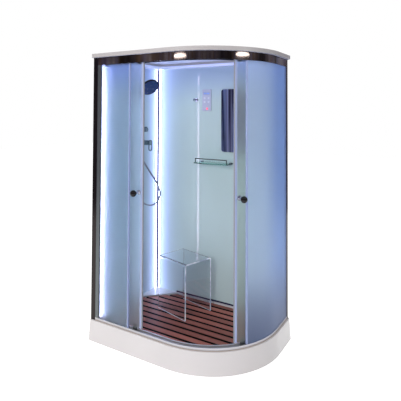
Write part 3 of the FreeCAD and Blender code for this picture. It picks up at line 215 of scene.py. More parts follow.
def mixed(tree, share, first, second):
    """A colour between two."""
    return node(tree, "ShaderNodeMix", {"Factor": share, "A": first, "B": second}, "Result", data_type="RGBA")


def stretched_noise(tree, ins, **values):
    """Noise over the stretched place on the object."""
    place = vectors(tree, "MULTIPLY", place_in(tree), ins["Stretch"])
    return node(tree, "ShaderNodeTexNoise", {"Vector": place, "Scale": ins["Scale"], **values}, "Fac")


def skin_group():
    """Handling marks: roughness that drifts between two values, and a slight swell."""
    def results(group, ins):
        noise = stretched_noise(group, ins, Detail=4)
        return {"Roughness": ranged(group, noise, to_min=ins["Least"], to_max=ins["Most"]), "Height": noise}

    return new_group("Cabin skin", [("Scale", FLOAT, 6), ("Least", FLOAT, 0.05), ("Most", FLOAT, 0.2),
                                    ("Stretch", VECTOR, (1, 1, 1))], results)


def grain_group():
    """Wood grain: two browns in long streaks, a shade of its own for each slat, and painted shade on the sides
    and along the edges by the gaps.
    """
    def results(group, ins):
        across = maths(group, "SUBTRACT", coordinate(group, "Y"), ins["Start"])
        count = maths(group, "DIVIDE", across, ins["Pitch"])
        kept = maths(group, "MAXIMUM", count, ins["Least"])
        slat = maths(group, "FLOOR", kept)
        own = group.nodes.new("ShaderNodeTexWhiteNoise")
        own.noise_dimensions = "1D"
        group.links.new(slat, own.inputs["W"])
        # Painted shade: the slats turn dark close to each gap.
        off_middle = maths(group, "ABSOLUTE", maths(group, "SUBTRACT", maths(group, "FRACT", kept), 0.5))
        clear_of_gap_shade = maths(group, "LESS_THAN", off_middle, ins["Edge"])
        place = vectors(group, "MULTIPLY", place_in(group), ins["Stretch"])
        place = vectors(group, "ADD", place, own.outputs["Color"])
        noise = node(group, "ShaderNodeTexNoise",
                     {"Vector": place, "Scale": ins["Scale"], "Detail": 9, "Roughness": 0.65}, "Fac")
        browns = mixed(group, noise, ins["Dark"], ins["Light"])
        # Painted shade: faces that don't look up, the slats' sides, turn dark.
        upward = ranged(group, coordinate(group, "Z", "Normal"), from_min=0.975, from_max=0.999, to_min=0)
        tone = ranged(group, own.outputs["Value"], to_min=0.7, to_max=1.25)
        tone_and_gap_shade = maths(group, "MULTIPLY", maths(group, "MULTIPLY", tone, upward), clear_of_gap_shade)
        return {"Color": scaled(group, browns, tone_and_gap_shade),
                "Roughness": ranged(group, noise, to_min=0.55, to_max=0.35), "Height": noise}

    return new_group("Cabin grain", [
        ("Light", COLOUR, (0.3, 0.15, 0.1, 1)), ("Dark", COLOUR, (0.1, 0.04, 0.03, 1)), ("Scale", FLOAT, 9),
        ("Stretch", VECTOR, (0.15, 3, 3)), ("Pitch", FLOAT, 0.07), ("Start", FLOAT, 0.0),
        ("Least", FLOAT, -100), ("Edge", FLOAT, 0.336)], results)


def tone_group():
    """A colour that drifts to a second one, for paint behind glass and moulded sheet, and for painted
    reflection streaks on plated metal and the mirror.
    """
    def results(group, ins):
        sharper = ranged(group, stretched_noise(group, ins), from_min=0.4, from_max=0.6)
        return {"Color": mixed(group, sharper, ins["First"], ins["Second"])}

    return new_group("Cabin tone", FIRST_AND_SECOND + [("Scale", FLOAT, 1.5), ("Stretch", VECTOR, (1, 1, 1))],
                     results)


def blend_group():
    """A colour that turns into a second one between two places along an axis."""
    def results(group, ins):
        share = node(group, "ShaderNodeMapRange",
                     {"Value": along(group, ins["Axis"]), "From Min": ins["Start"], "From Max": ins["End"]},
                     "Result", interpolation_type="SMOOTHSTEP")
        return {"Color": mixed(group, share, ins["First"], ins["Second"])}

    return new_group("Cabin blend", FIRST_AND_SECOND + [("Axis", VECTOR, (0, 0, 1)), ("Start", FLOAT, 0),
                                                        ("End", FLOAT, 1)], results)


def glow_group():
    """Light in the face of glass beside a lit strip, which fades with the distance from it along one axis."""
    def results(group, ins):
        away = maths(group, "ABSOLUTE", maths(group, "SUBTRACT", along(group, ins["Axis"]), ins["Place"]))
        share = maths(group, "DIVIDE", away, ins["Reach"])
        fade = maths(group, "EXPONENT", maths(group, "MULTIPLY", share, -1))
        facing = maths(group, "MAXIMUM", along(group, ins["Side"], "Normal"), 0)
        return {"Color": scaled(group, ins["Light"], maths(group, "MULTIPLY", fade, facing))}

    return new_group("Cabin glow", [
        ("Light", COLOUR, (1, 1, 1, 1)), ("Axis", VECTOR, (1, 0, 0)), ("Place", FLOAT, 0),
        ("Reach", FLOAT, 0.1), ("Side", VECTOR, (0, -1, 0))], results)


def side_group():
    """A colour that is another one on the faces that look one way, under a height."""
    def results(group, ins):
        both = maths(group, "MULTIPLY",
                     maths(group, "GREATER_THAN", along(group, ins["Way"], "Normal"), 0.8),
                     maths(group, "LESS_THAN", coordinate(group, "Z"), ins["Height"]))
        return {"Color": mixed(group, both, ins["First"], ins["Second"])}

    return new_group("Cabin side", FIRST_AND_SECOND + [("Way", VECTOR, (0, 0, 1)), ("Height", FLOAT, 1)],
                     results)


GROUPS = {}
GROUP_MAKERS = {
    "skin": skin_group, "grain": grain_group, "tone": tone_group, "blend": blend_group, "glow": glow_group,
    "side": side_group,
}


def shared(kind):
    """The shader group of that kind, built the first time it is wanted."""
    if kind not in GROUPS:
        GROUPS[kind] = GROUP_MAKERS[kind]()
    return GROUPS[kind]


def place_group(material, kind, **values):
    """Places a shared group in a material with its own values. Returns its outputs."""
    made = material.node_tree.nodes.new("ShaderNodeGroup")
    made.node_tree = shared(kind)
    for name, value in values.items():
        made.inputs[name].default_value = value
    return made.outputs


def opaque(rgb):
    """The colour with full alpha."""
    return (*rgb, 1.0)


def bumped(material, skin, strength, depth):
    """Takes a material's roughness and bump from a placed group."""
    tree = material.node_tree
    shader = tree.nodes["Principled BSDF"].inputs
    swell = node(tree, "ShaderNodeBump", {"Strength": strength, "Distance": depth, "Height": skin["Height"]})
    tree.links.new(skin["Roughness"], shader["Roughness"])
    tree.links.new(swell, shader["Normal"])


def finish(name, rgb, least=0.1, most=0.2, scale=6.0, bump=0.05, depth=0.001, stretch=(1, 1, 1), **inputs):
    """A Principled material whose roughness and bump come from the skin group."""
    made = bpy.data.materials.new(name)
    made.use_nodes = True
    shader = made.node_tree.nodes["Principled BSDF"].inputs
    shader["Base Color"].default_value = opaque(rgb)
    for title, value in inputs.items():
        shader[title.replace("_", " ")].default_value = value
    bumped(made, place_group(made, "skin", Scale=scale, Least=least, Most=most, Stretch=stretch), bump, depth)
    return made


def two_tone(material, first, second, scale, stretch=(1, 1, 1)):
    """Lets a material's colour drift between two tones."""
    tone = place_group(material, "tone", First=opaque(first), Second=opaque(second), Scale=scale,
                       Stretch=stretch)
    tree = material.node_tree
    tree.links.new(tone["Color"], tree.nodes["Principled BSDF"].inputs["Base Color"])
    return material


def recoloured(material, kind, socket, second, **values):
    """Puts a colour group between one of a material's sockets and what fed it."""
    tree = material.node_tree
    base = tree.nodes["Principled BSDF"].inputs[socket]
    made = place_group(material, kind, First=base.default_value, Second=opaque(second), **values)
    if base.links:
        tree.links.new(base.links[0].from_socket, made[0].node.inputs["First"])
    tree.links.new(made["Color"], base)
    return material


def blended(material, second, start, end, axis=(0, 0, 1), socket="Base Color"):
    """Turns a material's colour, or its light, into a second one between two places along an axis."""
    return recoloured(material, "blend", socket, second, Start=start, End=end, Axis=axis)


def toned_side(material, shade, way, height, socket="Base Color"):
    """Gives a material another colour, or light, on the faces that look one way, under a height."""
    return recoloured(material, "side", socket, shade, Way=way, Height=height)


def lit_beside(material, strength, side, strips):
    """Adds strips' glow to one side of a glass. strips holds a light, its axis, place on it and reach."""
    tree = material.node_tree
    shader = tree.nodes["Principled BSDF"].inputs
    shader["Emission Strength"].default_value = strength
    glows = [place_group(material, "glow", Light=opaque(light), Axis=axis, Place=place, Reach=reach,
                         Side=side)["Color"] for light, axis, place, reach in strips]
    total = glows[0]
    for glow in glows[1:]:
        total = vectors(tree, "ADD", total, glow)
    tree.links.new(total, shader["Emission Color"])
    return material


def shaded(rgb, share):
    """The colour darker or lighter by a share."""
    return tuple(min(1.0, channel * share) for channel in rgb)


def painted_glass(name, wall, upper, under_roof):
    """Wall glass with its paint behind it, and painted bluer light close under the roof."""
    made = finish(name, wall, 0.01, 0.03, 3, 0.004, 0.001, Specular_IOR_Level=0.35)
    return blended(two_tone(made, wall, shaded(wall, 1.08), 1.2), upper, under_roof - 0.35, under_roof)


def picked(chosen, *names):
    """The user's colours of those names, as plain tuples."""
    return (tuple(getattr(chosen, name)) for name in names)


def metal_finishes(chosen):
    """Plated, painted and bare metals, and the mirror."""
    # dark, black and smoked hold chromes painted dark as reflection.
    dark, black, rail, chrome, smoked = picked(
        chosen, "dark_chrome", "black_chrome", "rail_metal", "chrome", "smoked_chrome")
    return {
        # Painted reflection: dark chrome with lighter and darker upright streaks.
        "dark_chrome": two_tone(
            finish("dark chrome", dark, 0.03, 0.07, 2.5, 0.08, 0.001, (1, 1, 0.3), Metallic=1.0),
            shaded(dark, 2), shaded(dark, 0.3), 5, (1, 1, 0.3)),
        # Painted reflection: the posts' chrome is near black.
        "black_chrome": finish("black chrome", black, 0.1, 0.2, 2.5, 0.12, 0.001, (1, 1, 0.3), Metallic=1.0),
        # Painted highlight: the rail turns near white above a height near its top.
        "rail_metal": blended(
            finish("satin rail", rail, 0.3, 0.34, 60, 0.0, 0.0004, Metallic=0.7),
            (0.9, 0.9, 1.0), 0.16, 0.166),
        "dark_satin": finish("dark satin metal", (0.13, 0.145, 0.15), 0.32, 0.44, 60, 0.1, 0.0004,
                             (1, 1, 0.05), Metallic=0.8),
        "chrome": finish("chrome", chrome, 0.04, 0.12, 14, 0.04, Metallic=1.0),
        # Painted reflection: the fittings' chrome is dimmed.
        "smoked_chrome": finish("smoked chrome", smoked, 0.05, 0.14, 14, 0.04, Metallic=1.0),
        "satin_metal": finish("satin aluminium", (0.62, 0.63, 0.66), 0.25, 0.4, 60, 0.15, 0.0004,
                              (1, 1, 0.02), Metallic=1.0),
        "dark_profile": finish("dark anodised profile", (0.035, 0.03, 0.075), 0.25, 0.38, 40, 0.1, 0.0004,
                               (1, 1, 0.05), Metallic=0.6),
        "painted_steel": finish("grey painted steel", (0.2, 0.2, 0.21), 0.35, 0.5, 120, 0.3, 0.0003,
                                Metallic=0.2),
        "brass": finish("cast brass", (0.55, 0.38, 0.14), 0.3, 0.45, 70, 0.25, 0.0004, Metallic=1.0),
        "steel_spiral": finish("steel spiral", (0.3, 0.32, 0.36), 0.25, 0.38, 80, 0.1, 0.0003, Metallic=1.0),
        # Painted reflection: upright dark purple and lavender bands in the mirror's colour.
        "mirror": two_tone(
            finish("silvered mirror", (0.5, 0.5, 0.6), 0.0, 0.015, 5, 0.01, Metallic=1.0),
            (0.07, 0.06, 0.11), (0.55, 0.56, 0.8), 38, (1, 1, 0.02)),
    }


def glass_finishes(chosen, under_roof):
    """Satin, clear and painted glass, and the stool's clear sheet."""
    front, side, wall, upper, glow = picked(
        chosen, "front_glass", "side_pane_shade", "wall_glass", "upper_wall_light", "glow")
    return {
        # Painted light: the front glass turns bluer close under the roof.
        "front_glass": blended(
            finish("satin front glass", shaded(front, 0.97), 0.42, 0.5, 30, 0.02, 0.0003,
                   Transmission_Weight=0.97, IOR=1.35),
            (0.58, 0.72, 0.95), under_roof - 0.3, under_roof),
        # Painted light and shade: a blue glow, deeper blue towards the back edge and dark towards the foot.
        "side_pane": blended(
            blended(
                finish("satin side glass", (0.8, 0.91, 1.0), 0.46, 0.54, 30, 0.02, 0.0003,
                       Transmission_Weight=0.85, IOR=1.45, Emission_Color=(0.25, 0.4, 1.0, 1),
                       Emission_Strength=0.06),
                side, -0.06, 0.26, (0, 1, 0)),
            (0.2, 0.25, 0.33), 0.7, 0.12),
        # Painted light: the doors' glass turns bluer close under the roof.
        "door_glass": blended(
            blended(
                finish("satin door glass", shaded(front, 0.97), 0.4, 0.48, 30, 0.02, 0.0003,
                       Transmission_Weight=0.95, IOR=1.35),
                (0.7, 0.78, 0.75), -0.1, 0.1, (1, 0, 0)),
            (0.62, 0.74, 0.95), under_roof - 0.25, under_roof),
        "shelf_glass": finish("clear shelf glass", (0.5, 0.88, 0.76), 0.0, 0.03, 20, 0.01,
                              Transmission_Weight=1.0, IOR=1.45),
        "back_glass": lit_beside(
            painted_glass("painted back wall glass", wall, upper, under_roof),
            chosen.glow_strength, (0, -1, 0),
            [(light, (1, 0, 0), middle_of("light_diffusers", 2).x, reach)
             for light, reach in ((glow, chosen.glow_reach), (shaded(wall, 0.1), chosen.far_reach))]),
        "side_glass": lit_beside(
            painted_glass("painted left wall glass", wall, upper, under_roof),
            chosen.glow_strength, (1, 0, 0),
            [(glow, (0, 1, 0), middle_of("light_diffusers", part).y, chosen.glow_reach) for part in (0, 1)]),
        "clear_acrylic": finish("clear acrylic", (0.97, 0.985, 1), 0.0, 0.03, 12, 0.01,
                                Transmission_Weight=1.0, IOR=1.49),
        # The sawn edges are real; their glow is painted light.
        "sawn_acrylic": two_tone(
            finish("sawn acrylic edge", (0.8, 0.86, 1), 0.3, 0.45, 300, 0.2, 0.0003,
                   Emission_Color=(0.75, 0.85, 1, 1), Emission_Strength=0.15),
            (0.95, 0.97, 1), (0.25, 0.3, 0.42), 9),
    }


def plastic_finishes(chosen):
    """Acrylic, vinyl, plastics and rubber. The tray's floor is painted dark as shade where it lies under the
    deck.
    """
    acrylic = tuple(chosen.acrylic)
    return {
        # Painted shade: the tray's upward faces below the deck turn near black.
        "acrylic": toned_side(
            two_tone(finish("glossy acrylic", acrylic, 0.1, 0.22, 3, 0.25, 0.002, Coat_Weight=0.4),
                     acrylic, shaded(acrylic, 0.96), 2),
            (0.012, 0.01, 0.01), UP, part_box("deck_slats")[0][2]),
        # Painted light: the seals and stiles glow lavender.
        "clear_vinyl": finish("clear vinyl", (0.46, 0.54, 0.78), 0.3, 0.4, 25, 0.0, 0.0002, (1, 1, 0.02),
                              Transmission_Weight=0.3, IOR=1.4, Emission_Color=(0.4, 0.45, 1.0, 1),
                              Emission_Strength=0.05),
        "grey_vinyl": finish("grey magnet strip", (0.3, 0.31, 0.35), 0.4, 0.5, 60, 0.1, 0.0002),
        "grey_plastic": finish("matt grey plastic", (0.12, 0.12, 0.125), 0.45, 0.6, 90, 0.2, 0.0003),
        "black_plastic": finish("gloss black plastic", (0.004, 0.004, 0.005), 0.08, 0.16, 30, 0.03,
                                Specular_IOR_Level=0.3),
        "white_plastic": finish("gloss white plastic", (0.7, 0.71, 0.74), 0.2, 0.3, 40, 0.05, 0.0004),
        "face_plastic": finish("dark blue shower face", (0.02, 0.05, 0.2), 0.2, 0.32, 60, 0.05, 0.0004,
                               Coat_Weight=0.2),
        "nozzle_rubber": finish("nozzle rubber", (0.05, 0.07, 0.17), 0.4, 0.55, 200, 0.1, 0.0002),
        "panel": finish("pearl panel", (0.5, 0.52, 0.66), 0.1, 0.2, 20, 0.02, Coat_Weight=0.4),
        "display": finish("smoked display", (0.4, 0.44, 0.64), 0.05, 0.12, 20, 0.02, Coat_Weight=0.5),
        # A tan colour for the bead along the rim.
        "sealant": finish("aged sealant", (0.42, 0.31, 0.22), 0.3, 0.4, 50, 0.1, 0.0004),
    }


STRIPS_APART = (-0.25, -0.2)


def light_finishes(chosen):
    """Lit diffusers and marks. The strip by the front post is brighter than the two in the corner."""
    light = tuple(chosen.light)
    return {
        "diffuser": blended(
            finish("lit strip diffuser", (0.9, 0.93, 1), 0.3, 0.4, 20, 0.03,
                   Emission_Color=opaque(chosen.front_light), Emission_Strength=chosen.light_strength),
            shaded(light, chosen.corner_share), *STRIPS_APART, (0, 1, 0), "Emission Color"),
        "lamp_lens": finish("lit lamp lens", (0.9, 0.93, 1), 0.2, 0.3, 20, 0.03,
                            Emission_Color=opaque(light), Emission_Strength=chosen.lamp_strength),
        "blue_glow": finish("blue glow", (0.2, 0.35, 0.85), 0.2, 0.3, 20, 0.02,
                            Emission_Color=(0.2, 0.4, 1, 1), Emission_Strength=0.15),
        "red_glow": finish("red glow", (0.8, 0.08, 0.12), 0.2, 0.3, 20, 0.02,
                           Emission_Color=(1, 0.12, 0.2, 1), Emission_Strength=1.2),
    }


# Heights over the walls' top where the roof's painted ceiling light starts and ends, and a height above all.
CEILING_START, CEILING_END, ANY_HEIGHT = 0.024, 0.018, 3


def roof_finish(chosen, under_roof):
    """The roof's acrylic, painted darker than the tray's as shade. Its underside has a painted lavender colour
    and glow for the strips' light.
    """
    acrylic, ceiling, glow = picked(chosen, "acrylic", "ceiling", "glow")
    # The roof's acrylic is a darker copy of the tray's, as painted shade.
    made = two_tone(
        finish("roof acrylic", shaded(acrylic, 0.7), 0.16, 0.28, 3, 0.25, 0.002, Coat_Weight=0.3,
               Emission_Color=(0, 0, 0, 1), Emission_Strength=0.28),
        shaded(acrylic, 0.68), shaded(acrylic, 0.62), 2)
    # Painted light: the underside takes the ceiling colour and the glow as emission.
    for shade, socket in ((ceiling, "Base Color"), (glow, "Emission Color")):
        blended(made, shade, under_roof + CEILING_START, under_roof + CEILING_END, socket=socket)
        toned_side(made, shade, -UP, ANY_HEIGHT, socket)
    return made


# The slats' pitch, the middle of one gap on Y, and the count of pitches from it where the front slat starts
SLAT_PITCH, GAP_PLACE, FRONT_SLAT = 0.07, 0.033, -4.5


def wood_finish(chosen):
    """Oiled dark wood, with a tone of its own for each slat."""
    wood = tuple(chosen.deck_wood)
    made = bpy.data.materials.new("oiled dark wood")
    made.use_nodes = True
    shader = made.node_tree.nodes["Principled BSDF"].inputs
    shader["Specular IOR Level"].default_value = 0.2
    # The grain group paints shade on the slats' sides and along the gaps.
    grain = place_group(made, "grain", Light=opaque(shaded(wood, 1.5)), Dark=opaque(shaded(wood, 0.55)),
                        Pitch=SLAT_PITCH, Start=GAP_PLACE, Least=FRONT_SLAT)
    made.node_tree.links.new(grain["Color"], shader["Base Color"])
    bumped(made, grain, 0.35, 0.001)
    return made


FINISHES = {}


def finishes(context):
    """All the cabin's finishes by name, made once from the user's colours."""
    if not FINISHES:
        chosen = context.scene.cabin_finishes
        under_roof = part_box("corner_profile")[1][2]
        FINISHES.update(metal_finishes(chosen))
        FINISHES.update(glass_finishes(chosen, under_roof))
        FINISHES.update(plastic_finishes(chosen))
        FINISHES.update(light_finishes(chosen))
        FINISHES["roof_acrylic"] = roof_finish(chosen, under_roof)
        FINISHES["wood"] = wood_finish(chosen)
    return FINISHES


# Mesh helpers

CRISP_ANGLE, BEVEL_ANGLE, MERGE_DISTANCE, SAME_PLACE = 0.6, 0.7, 0.00001, 1e-6


def soften(piece):
    """Smooth faces with crisp edges where they turn sharply."""
    mesh = piece.data
    if "custom_normal" in mesh.attributes:
        mesh.attributes.remove(mesh.attributes["custom_normal"])
    mesh.shade_smooth()
    mesh.set_sharp_from_angle(angle=CRISP_ANGLE)


def dress(context, names, finish_name, edge=0.0, segments=2):
    """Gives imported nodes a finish, smooth faces and, where edge isn't zero, rounded edges."""
    for name in names:
        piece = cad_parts[name]
        piece.data.materials.clear()
        piece.data.materials.append(finishes(context)[finish_name])
        if edge:
            weld = piece.modifiers.new("Join", "WELD")
            weld.merge_threshold = MERGE_DISTANCE
            bevel = piece.modifiers.new("Rounded edges", "BEVEL")
            bevel.width = edge
            bevel.segments = segments
            bevel.limit_method = "ANGLE"
            bevel.angle_limit = BEVEL_ANGLE
            bevel.harden_normals = True
        soften(piece)


def put_in_scene(name, data):
    """A new object of that data."""
    made = bpy.data.objects.new(name, data)
    bpy.context.scene.collection.objects.link(made)
    return made


def piece_from(name, mesh_maker, finishes_made, body):
    """A new piece from a bmesh that mesh_maker fills, riding on a body, with its finishes in order."""
    mesh = bpy.data.meshes.new(name)
    work = bmesh.new()
    mesh_maker(work)
    bmesh.ops.remove_doubles(work, verts=work.verts, dist=SAME_PLACE)
    bmesh.ops.recalc_face_normals(work, faces=work.faces)
    work.to_mesh(mesh)
    work.free()
    piece = put_in_scene(name, mesh)
    for made in finishes_made:
        mesh.materials.append(made)
    soften(piece)
    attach(piece, body)
    return piece


def turned_to(direction, place):
    """The matrix that stands +Z along a direction, at a place."""
    return Matrix.Translation(place) @ UP.rotation_difference(Vector(direction)).to_matrix().to_4x4()


def lathe(work, profile, matrix, steps=32, finish_place=0):
    """Adds a turned form. profile holds (radius, height) pairs in order, on the matrix's +Z."""
    rings = []
    for radius, height in profile:
        if radius == 0:
            rings.append([work.verts.new(matrix @ Vector((0, 0, height)))])
            continue
        rings.append([
            work.verts.new(matrix @ Vector((radius * math.cos(turn), radius * math.sin(turn), height)))
            for turn in (2 * math.pi * step / steps for step in range(steps))
        ])
    for lower, upper in zip(rings, rings[1:]):
        for step in range(steps):
            after = (step + 1) % steps
            corners = [lower[step % len(lower)], lower[after % len(lower)],
                       upper[after % len(upper)], upper[step % len(upper)]]
            corners = list(dict.fromkeys(corners))
            if len(corners) > 2:
                work.faces.new(corners).material_index = finish_place


def block(work, low, high, matrix=None):
    """Adds a block between two corners."""
    matrix = matrix or Matrix()
    corners = [
        work.verts.new(matrix @ Vector((x, y, z)))
        for x in (low[0], high[0]) for y in (low[1], high[1]) for z in (low[2], high[2])
    ]
    for face in ((0, 1, 3, 2), (4, 6, 7, 5), (0, 4, 5, 1), (2, 3, 7, 6), (0, 2, 6, 4), (1, 5, 7, 3)):
        work.faces.new([corners[place] for place in face])


def tube(work, path, radius, sides=8, radii=None):
    """Adds a round tube along a list of points, with a radius of its own for each where radii is given."""
    rings = []
    side = None
    last = len(path) - 1
    for place, point in enumerate(path):
        ahead = (path[min(place + 1, last)] - path[max(place - 1, 0)]).normalized()
        if side is None:
            side = ahead.orthogonal().normalized()
        side = (side - ahead * side.dot(ahead)).normalized()
        other = ahead.cross(side)
        size = radii[place] if radii else radius
        rings.append([
            work.verts.new(point + (side * math.cos(turn) + other * math.sin(turn)) * size)
            for turn in (2 * math.pi * step / sides for step in range(sides))
        ])
    work.faces.new(rings[0][::-1])
    work.faces.new(rings[-1])
    for first, second in zip(rings, rings[1:]):
        for step in range(sides):
            after = (step + 1) % sides
            work.faces.new([first[step], first[after], second[after], second[step]])


BEND_STEPS = 48


def front_path(inset, start_x, end_y, height):
    """Points along the plan at an inset: the front from a place on X, the bend, and the side up to a Y."""
    radius = BEND_RADIUS - inset
    centre_x, centre_y = BEND_CENTRE
    path = [Vector((start_x, centre_y - radius, height))]
    for step in range(BEND_STEPS + 1):
        turn = -math.pi / 2 + math.pi / 2 * step / BEND_STEPS
        path.append(Vector((centre_x + radius * math.cos(turn), centre_y + radius * math.sin(turn), height)))
    path.append(Vector((centre_x + radius, end_y, height)))
    return path


def middle_of(name, part=None):
    """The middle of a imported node's box, or of one of its solids in the order of their first points."""
    if part is None:
        low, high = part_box(name)
        return (Vector(low) + Vector(high)) / 2
    work = bmesh.new()
    work.from_mesh(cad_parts[name].data)
    bmesh.ops.remove_doubles(work, verts=work.verts, dist=SAME_PLACE)
    solids, seen = [], set()
    for first in work.verts:
        if first in seen:
            continue
        solid, waiting = [], [first]
        seen.add(first)
        while waiting:
            here = waiting.pop()
            solid.append(here.co.copy())
            for edge in here.link_edges:
                other = edge.other_vert(here)
                if other not in seen:
                    seen.add(other)
                    waiting.append(other)
        solids.append(solid)
    work.free()
    chosen = solids[part]
    low = Vector([min(point[axis] for point in chosen) for axis in range(3)])
    high = Vector([max(point[axis] for point in chosen) for axis in range(3)])
    return (low + high) / 2


BEAD_INSET, BEAD_RISE = 0.012, 0.3


class CABIN_OT_tray(bpy.types.Operator):
    """Tray, its feet and frame, the drain and the sealant bead on the rim"""

    bl_idname = "cabin.tray"
    bl_label = "Tray"

    def execute(self, context):
        dress(context, ["tray"], "acrylic", 0.004, 3)
        dress(context, ["support_frame"], "painted_steel")
        dress(context, ["levelling_feet", "drain_trap"], "grey_plastic")
        dress(context, ["drain_strainer"], "chrome")
        details = context.scene.cabin_details
        low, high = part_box("bottom_rail")
        path = front_path(BEAD_INSET, low[0], high[1], low[2] + details.bead * BEAD_RISE)

        def bead(work):
            tube(work, path, details.bead)

        piece_from("tray_bead", bead, [finishes(context)["sealant"]], "cabin")
        return {"FINISHED"}


class CABIN_OT_deck(bpy.types.Operator):
    """Slats and battens of the deck"""

    bl_idname = "cabin.deck"
    bl_label = "Deck"

    def execute(self, context):
        dress(context, ["deck_slats"], "wood", 0.003)
        dress(context, ["deck_battens"], "wood")
        return {"FINISHED"}


class CABIN_OT_metalwork(bpy.types.Operator):
    """Header, bottom rail, posts and channel"""

    bl_idname = "cabin.metalwork"
    bl_label = "Header, rails and posts"

    def execute(self, context):
        dress(context, ["header_rail"], "dark_chrome")
        dress(context, ["left_post", "right_post"], "black_chrome")
        dress(context, ["left_channel"], "dark_satin")
        dress(context, ["bottom_rail"], "rail_metal")
        return {"FINISHED"}


class CABIN_OT_front_glass(bpy.types.Operator):
    """Fixed front panes and the seals on their ends"""

    bl_idname = "cabin.front_glass"
    bl_label = "Front glass"

    def execute(self, context):
        dress(context, ["fixed_glass_left"], "front_glass")
        dress(context, ["fixed_glass_right"], "side_pane")
        dress(context, ["glass_end_seals"], "clear_vinyl")
        return {"FINISHED"}


RIGHT_LEAD = math.radians(-42.4)
STILE_OUTSIDE, STILE_INSIDE = 0.0295, 0.0395
TRIM_WIDTH, TRIM_PROUD = 0.005, 0.0003


class CABIN_OT_doors(bpy.types.Operator):
    """Both sliding doors with their stiles, brackets, rollers and knobs"""

    bl_idname = "cabin.doors"
    bl_label = "Doors"

    def execute(self, context):
        for side in DOORS:
            dress(context, [f"door_glass_{side}"], "door_glass")
            dress(context, [f"door_stile_{side}"], "clear_vinyl")
            dress(context, [f"door_brackets_{side}"], "dark_satin")
            dress(context, [f"knob_base_{side}"], "chrome")
            dress(context, [f"knob_ball_{side}"], "black_plastic")
            dress(context, [f"roller_{side}_lead", f"roller_{side}_tail"], "white_plastic")
            low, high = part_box(f"door_stile_{side}")
            if side == "left":
                edge = (Matrix.Translation((high[0], BEND_CENTRE[1] - BEND_RADIUS, 0))
                        @ Matrix.Rotation(-math.pi / 2, 4, "Z"))
                ends = (-TRIM_WIDTH, TRIM_PROUD)
            else:
                edge = (Matrix.Translation((*BEND_CENTRE, 0)) @ Matrix.Rotation(RIGHT_LEAD, 4, "Z")
                        @ Matrix.Translation((BEND_RADIUS, 0, 0)))
                ends = (-TRIM_PROUD, TRIM_WIDTH)

            def trim(work):
                block(work, (-STILE_INSIDE - TRIM_PROUD, ends[0], low[2]),
                      (-STILE_OUTSIDE + TRIM_PROUD, ends[1], high[2]), edge)

            piece_from(f"stile_trim_{side}", trim, [finishes(context)["grey_vinyl"]], f"door_{side}")
        return {"FINISHED"}


class CABIN_OT_walls(bpy.types.Operator):
    """Painted glass walls and the profiles at the corner and the foot"""

    bl_idname = "cabin.walls"
    bl_label = "Walls"

    def execute(self, context):
        dress(context, ["back_wall"], "back_glass")
        dress(context, ["left_wall"], "side_glass")
        dress(context, ["corner_profile", "wall_base_profile"], "dark_profile")
        return {"FINISHED"}


class CABIN_OT_lights(bpy.types.Operator):
    """Light strips and the ceiling lamp"""

    bl_idname = "cabin.lights"
    bl_label = "Lights"

    def execute(self, context):
        dress(context, ["light_channels"], "satin_metal")
        dress(context, ["light_diffusers"], "diffuser")
        dress(context, ["lamp_lens"], "lamp_lens")
        dress(context, ["lamp_housing"], "white_plastic")
        return {"FINISHED"}


class CABIN_OT_roof(bpy.types.Operator):
    """Roof and its fan"""

    bl_idname = "cabin.roof"
    bl_label = "Roof"

    def execute(self, context):
        dress(context, ["roof"], "roof_acrylic", 0.003, 3)
        dress(context, ["fan_housing", "fan_rotor"], "grey_plastic")
        return {"FINISHED"}


class CABIN_OT_mixer(bpy.types.Operator):
    """Mixer, diverter, the handset's holder, the hose's outlet and the valve behind the wall"""

    bl_idname = "cabin.mixer"
    bl_label = "Mixer"

    def execute(self, context):
        dress(context, ["mixer_body", "mixer_cap", "mixer_lever", "diverter_plate", "diverter_knob",
                        "hose_outlet", "handset_holder"], "smoked_chrome")
        dress(context, ["valve_body"], "brass")
        return {"FINISHED"}


HANDSET_CENTRE = Vector((-0.38, 0.02, 1.814))
HANDSET_FACE = Vector((0.693, -0.295, -0.658)).normalized()
HANDLE_WAY = Vector((-0.517, -0.328, -0.79)).normalized()
HANDLE_START = HANDSET_CENTRE - HANDSET_FACE * 0.036
HANDLE_LENGTH, NUT_LENGTH = 0.195, 0.022
NUT_RIDGES, RIDGE_PITCH = 9, 0.0022
HEAD_STEPS, HANDLE_STEPS, NOZZLE_STEPS, NOZZLE_FOOT = 64, 40, 8, -0.0006
HEAD_PROFILE = ((0, -0.0435), (0.014, -0.0432), (0.027, -0.0405), (0.045, -0.0335), (0.06, -0.0255),
                (0.069, -0.0185), (0.0725, -0.012), (0.073, -0.006), (0.0725, -0.0018), (0.0705, 0),
                (0.0685, -0.0006), (0.0675, -0.0028), (0.066, -0.003))
FACE_PROFILE = ((0.066, -0.003), (0.065, -0.0012), (0.03, -0.0002), (0, 0))
HANDLE_PROFILE = ((0, 0.008), (0.0118, 0.0085), (0.012, 0.02), (0.0115, 0.06), (0.0113, 0.1),
                  (0.0118, 0.122), (0.012, 0.124), (0.012, 0.157), (0.0117, 0.159), (0.0112, 0.17),
                  (0.0106, 0.189), (0.0102, 0.1935), (0.0086, HANDLE_LENGTH), (0, HANDLE_LENGTH))
NOZZLE_PROFILE = ((1, 0), (0.8, 0.0008), (0.45, 0.0012), (0.4, 0.0004), (0, 0.0004))
NOZZLE_RINGS = ((0, 1, 0), (0.012, 6, 0), (0.023, 12, 0), (0.034, 18, 0.5), (0.045, 24, 0.5),
                (0.056, 28, 0.5))


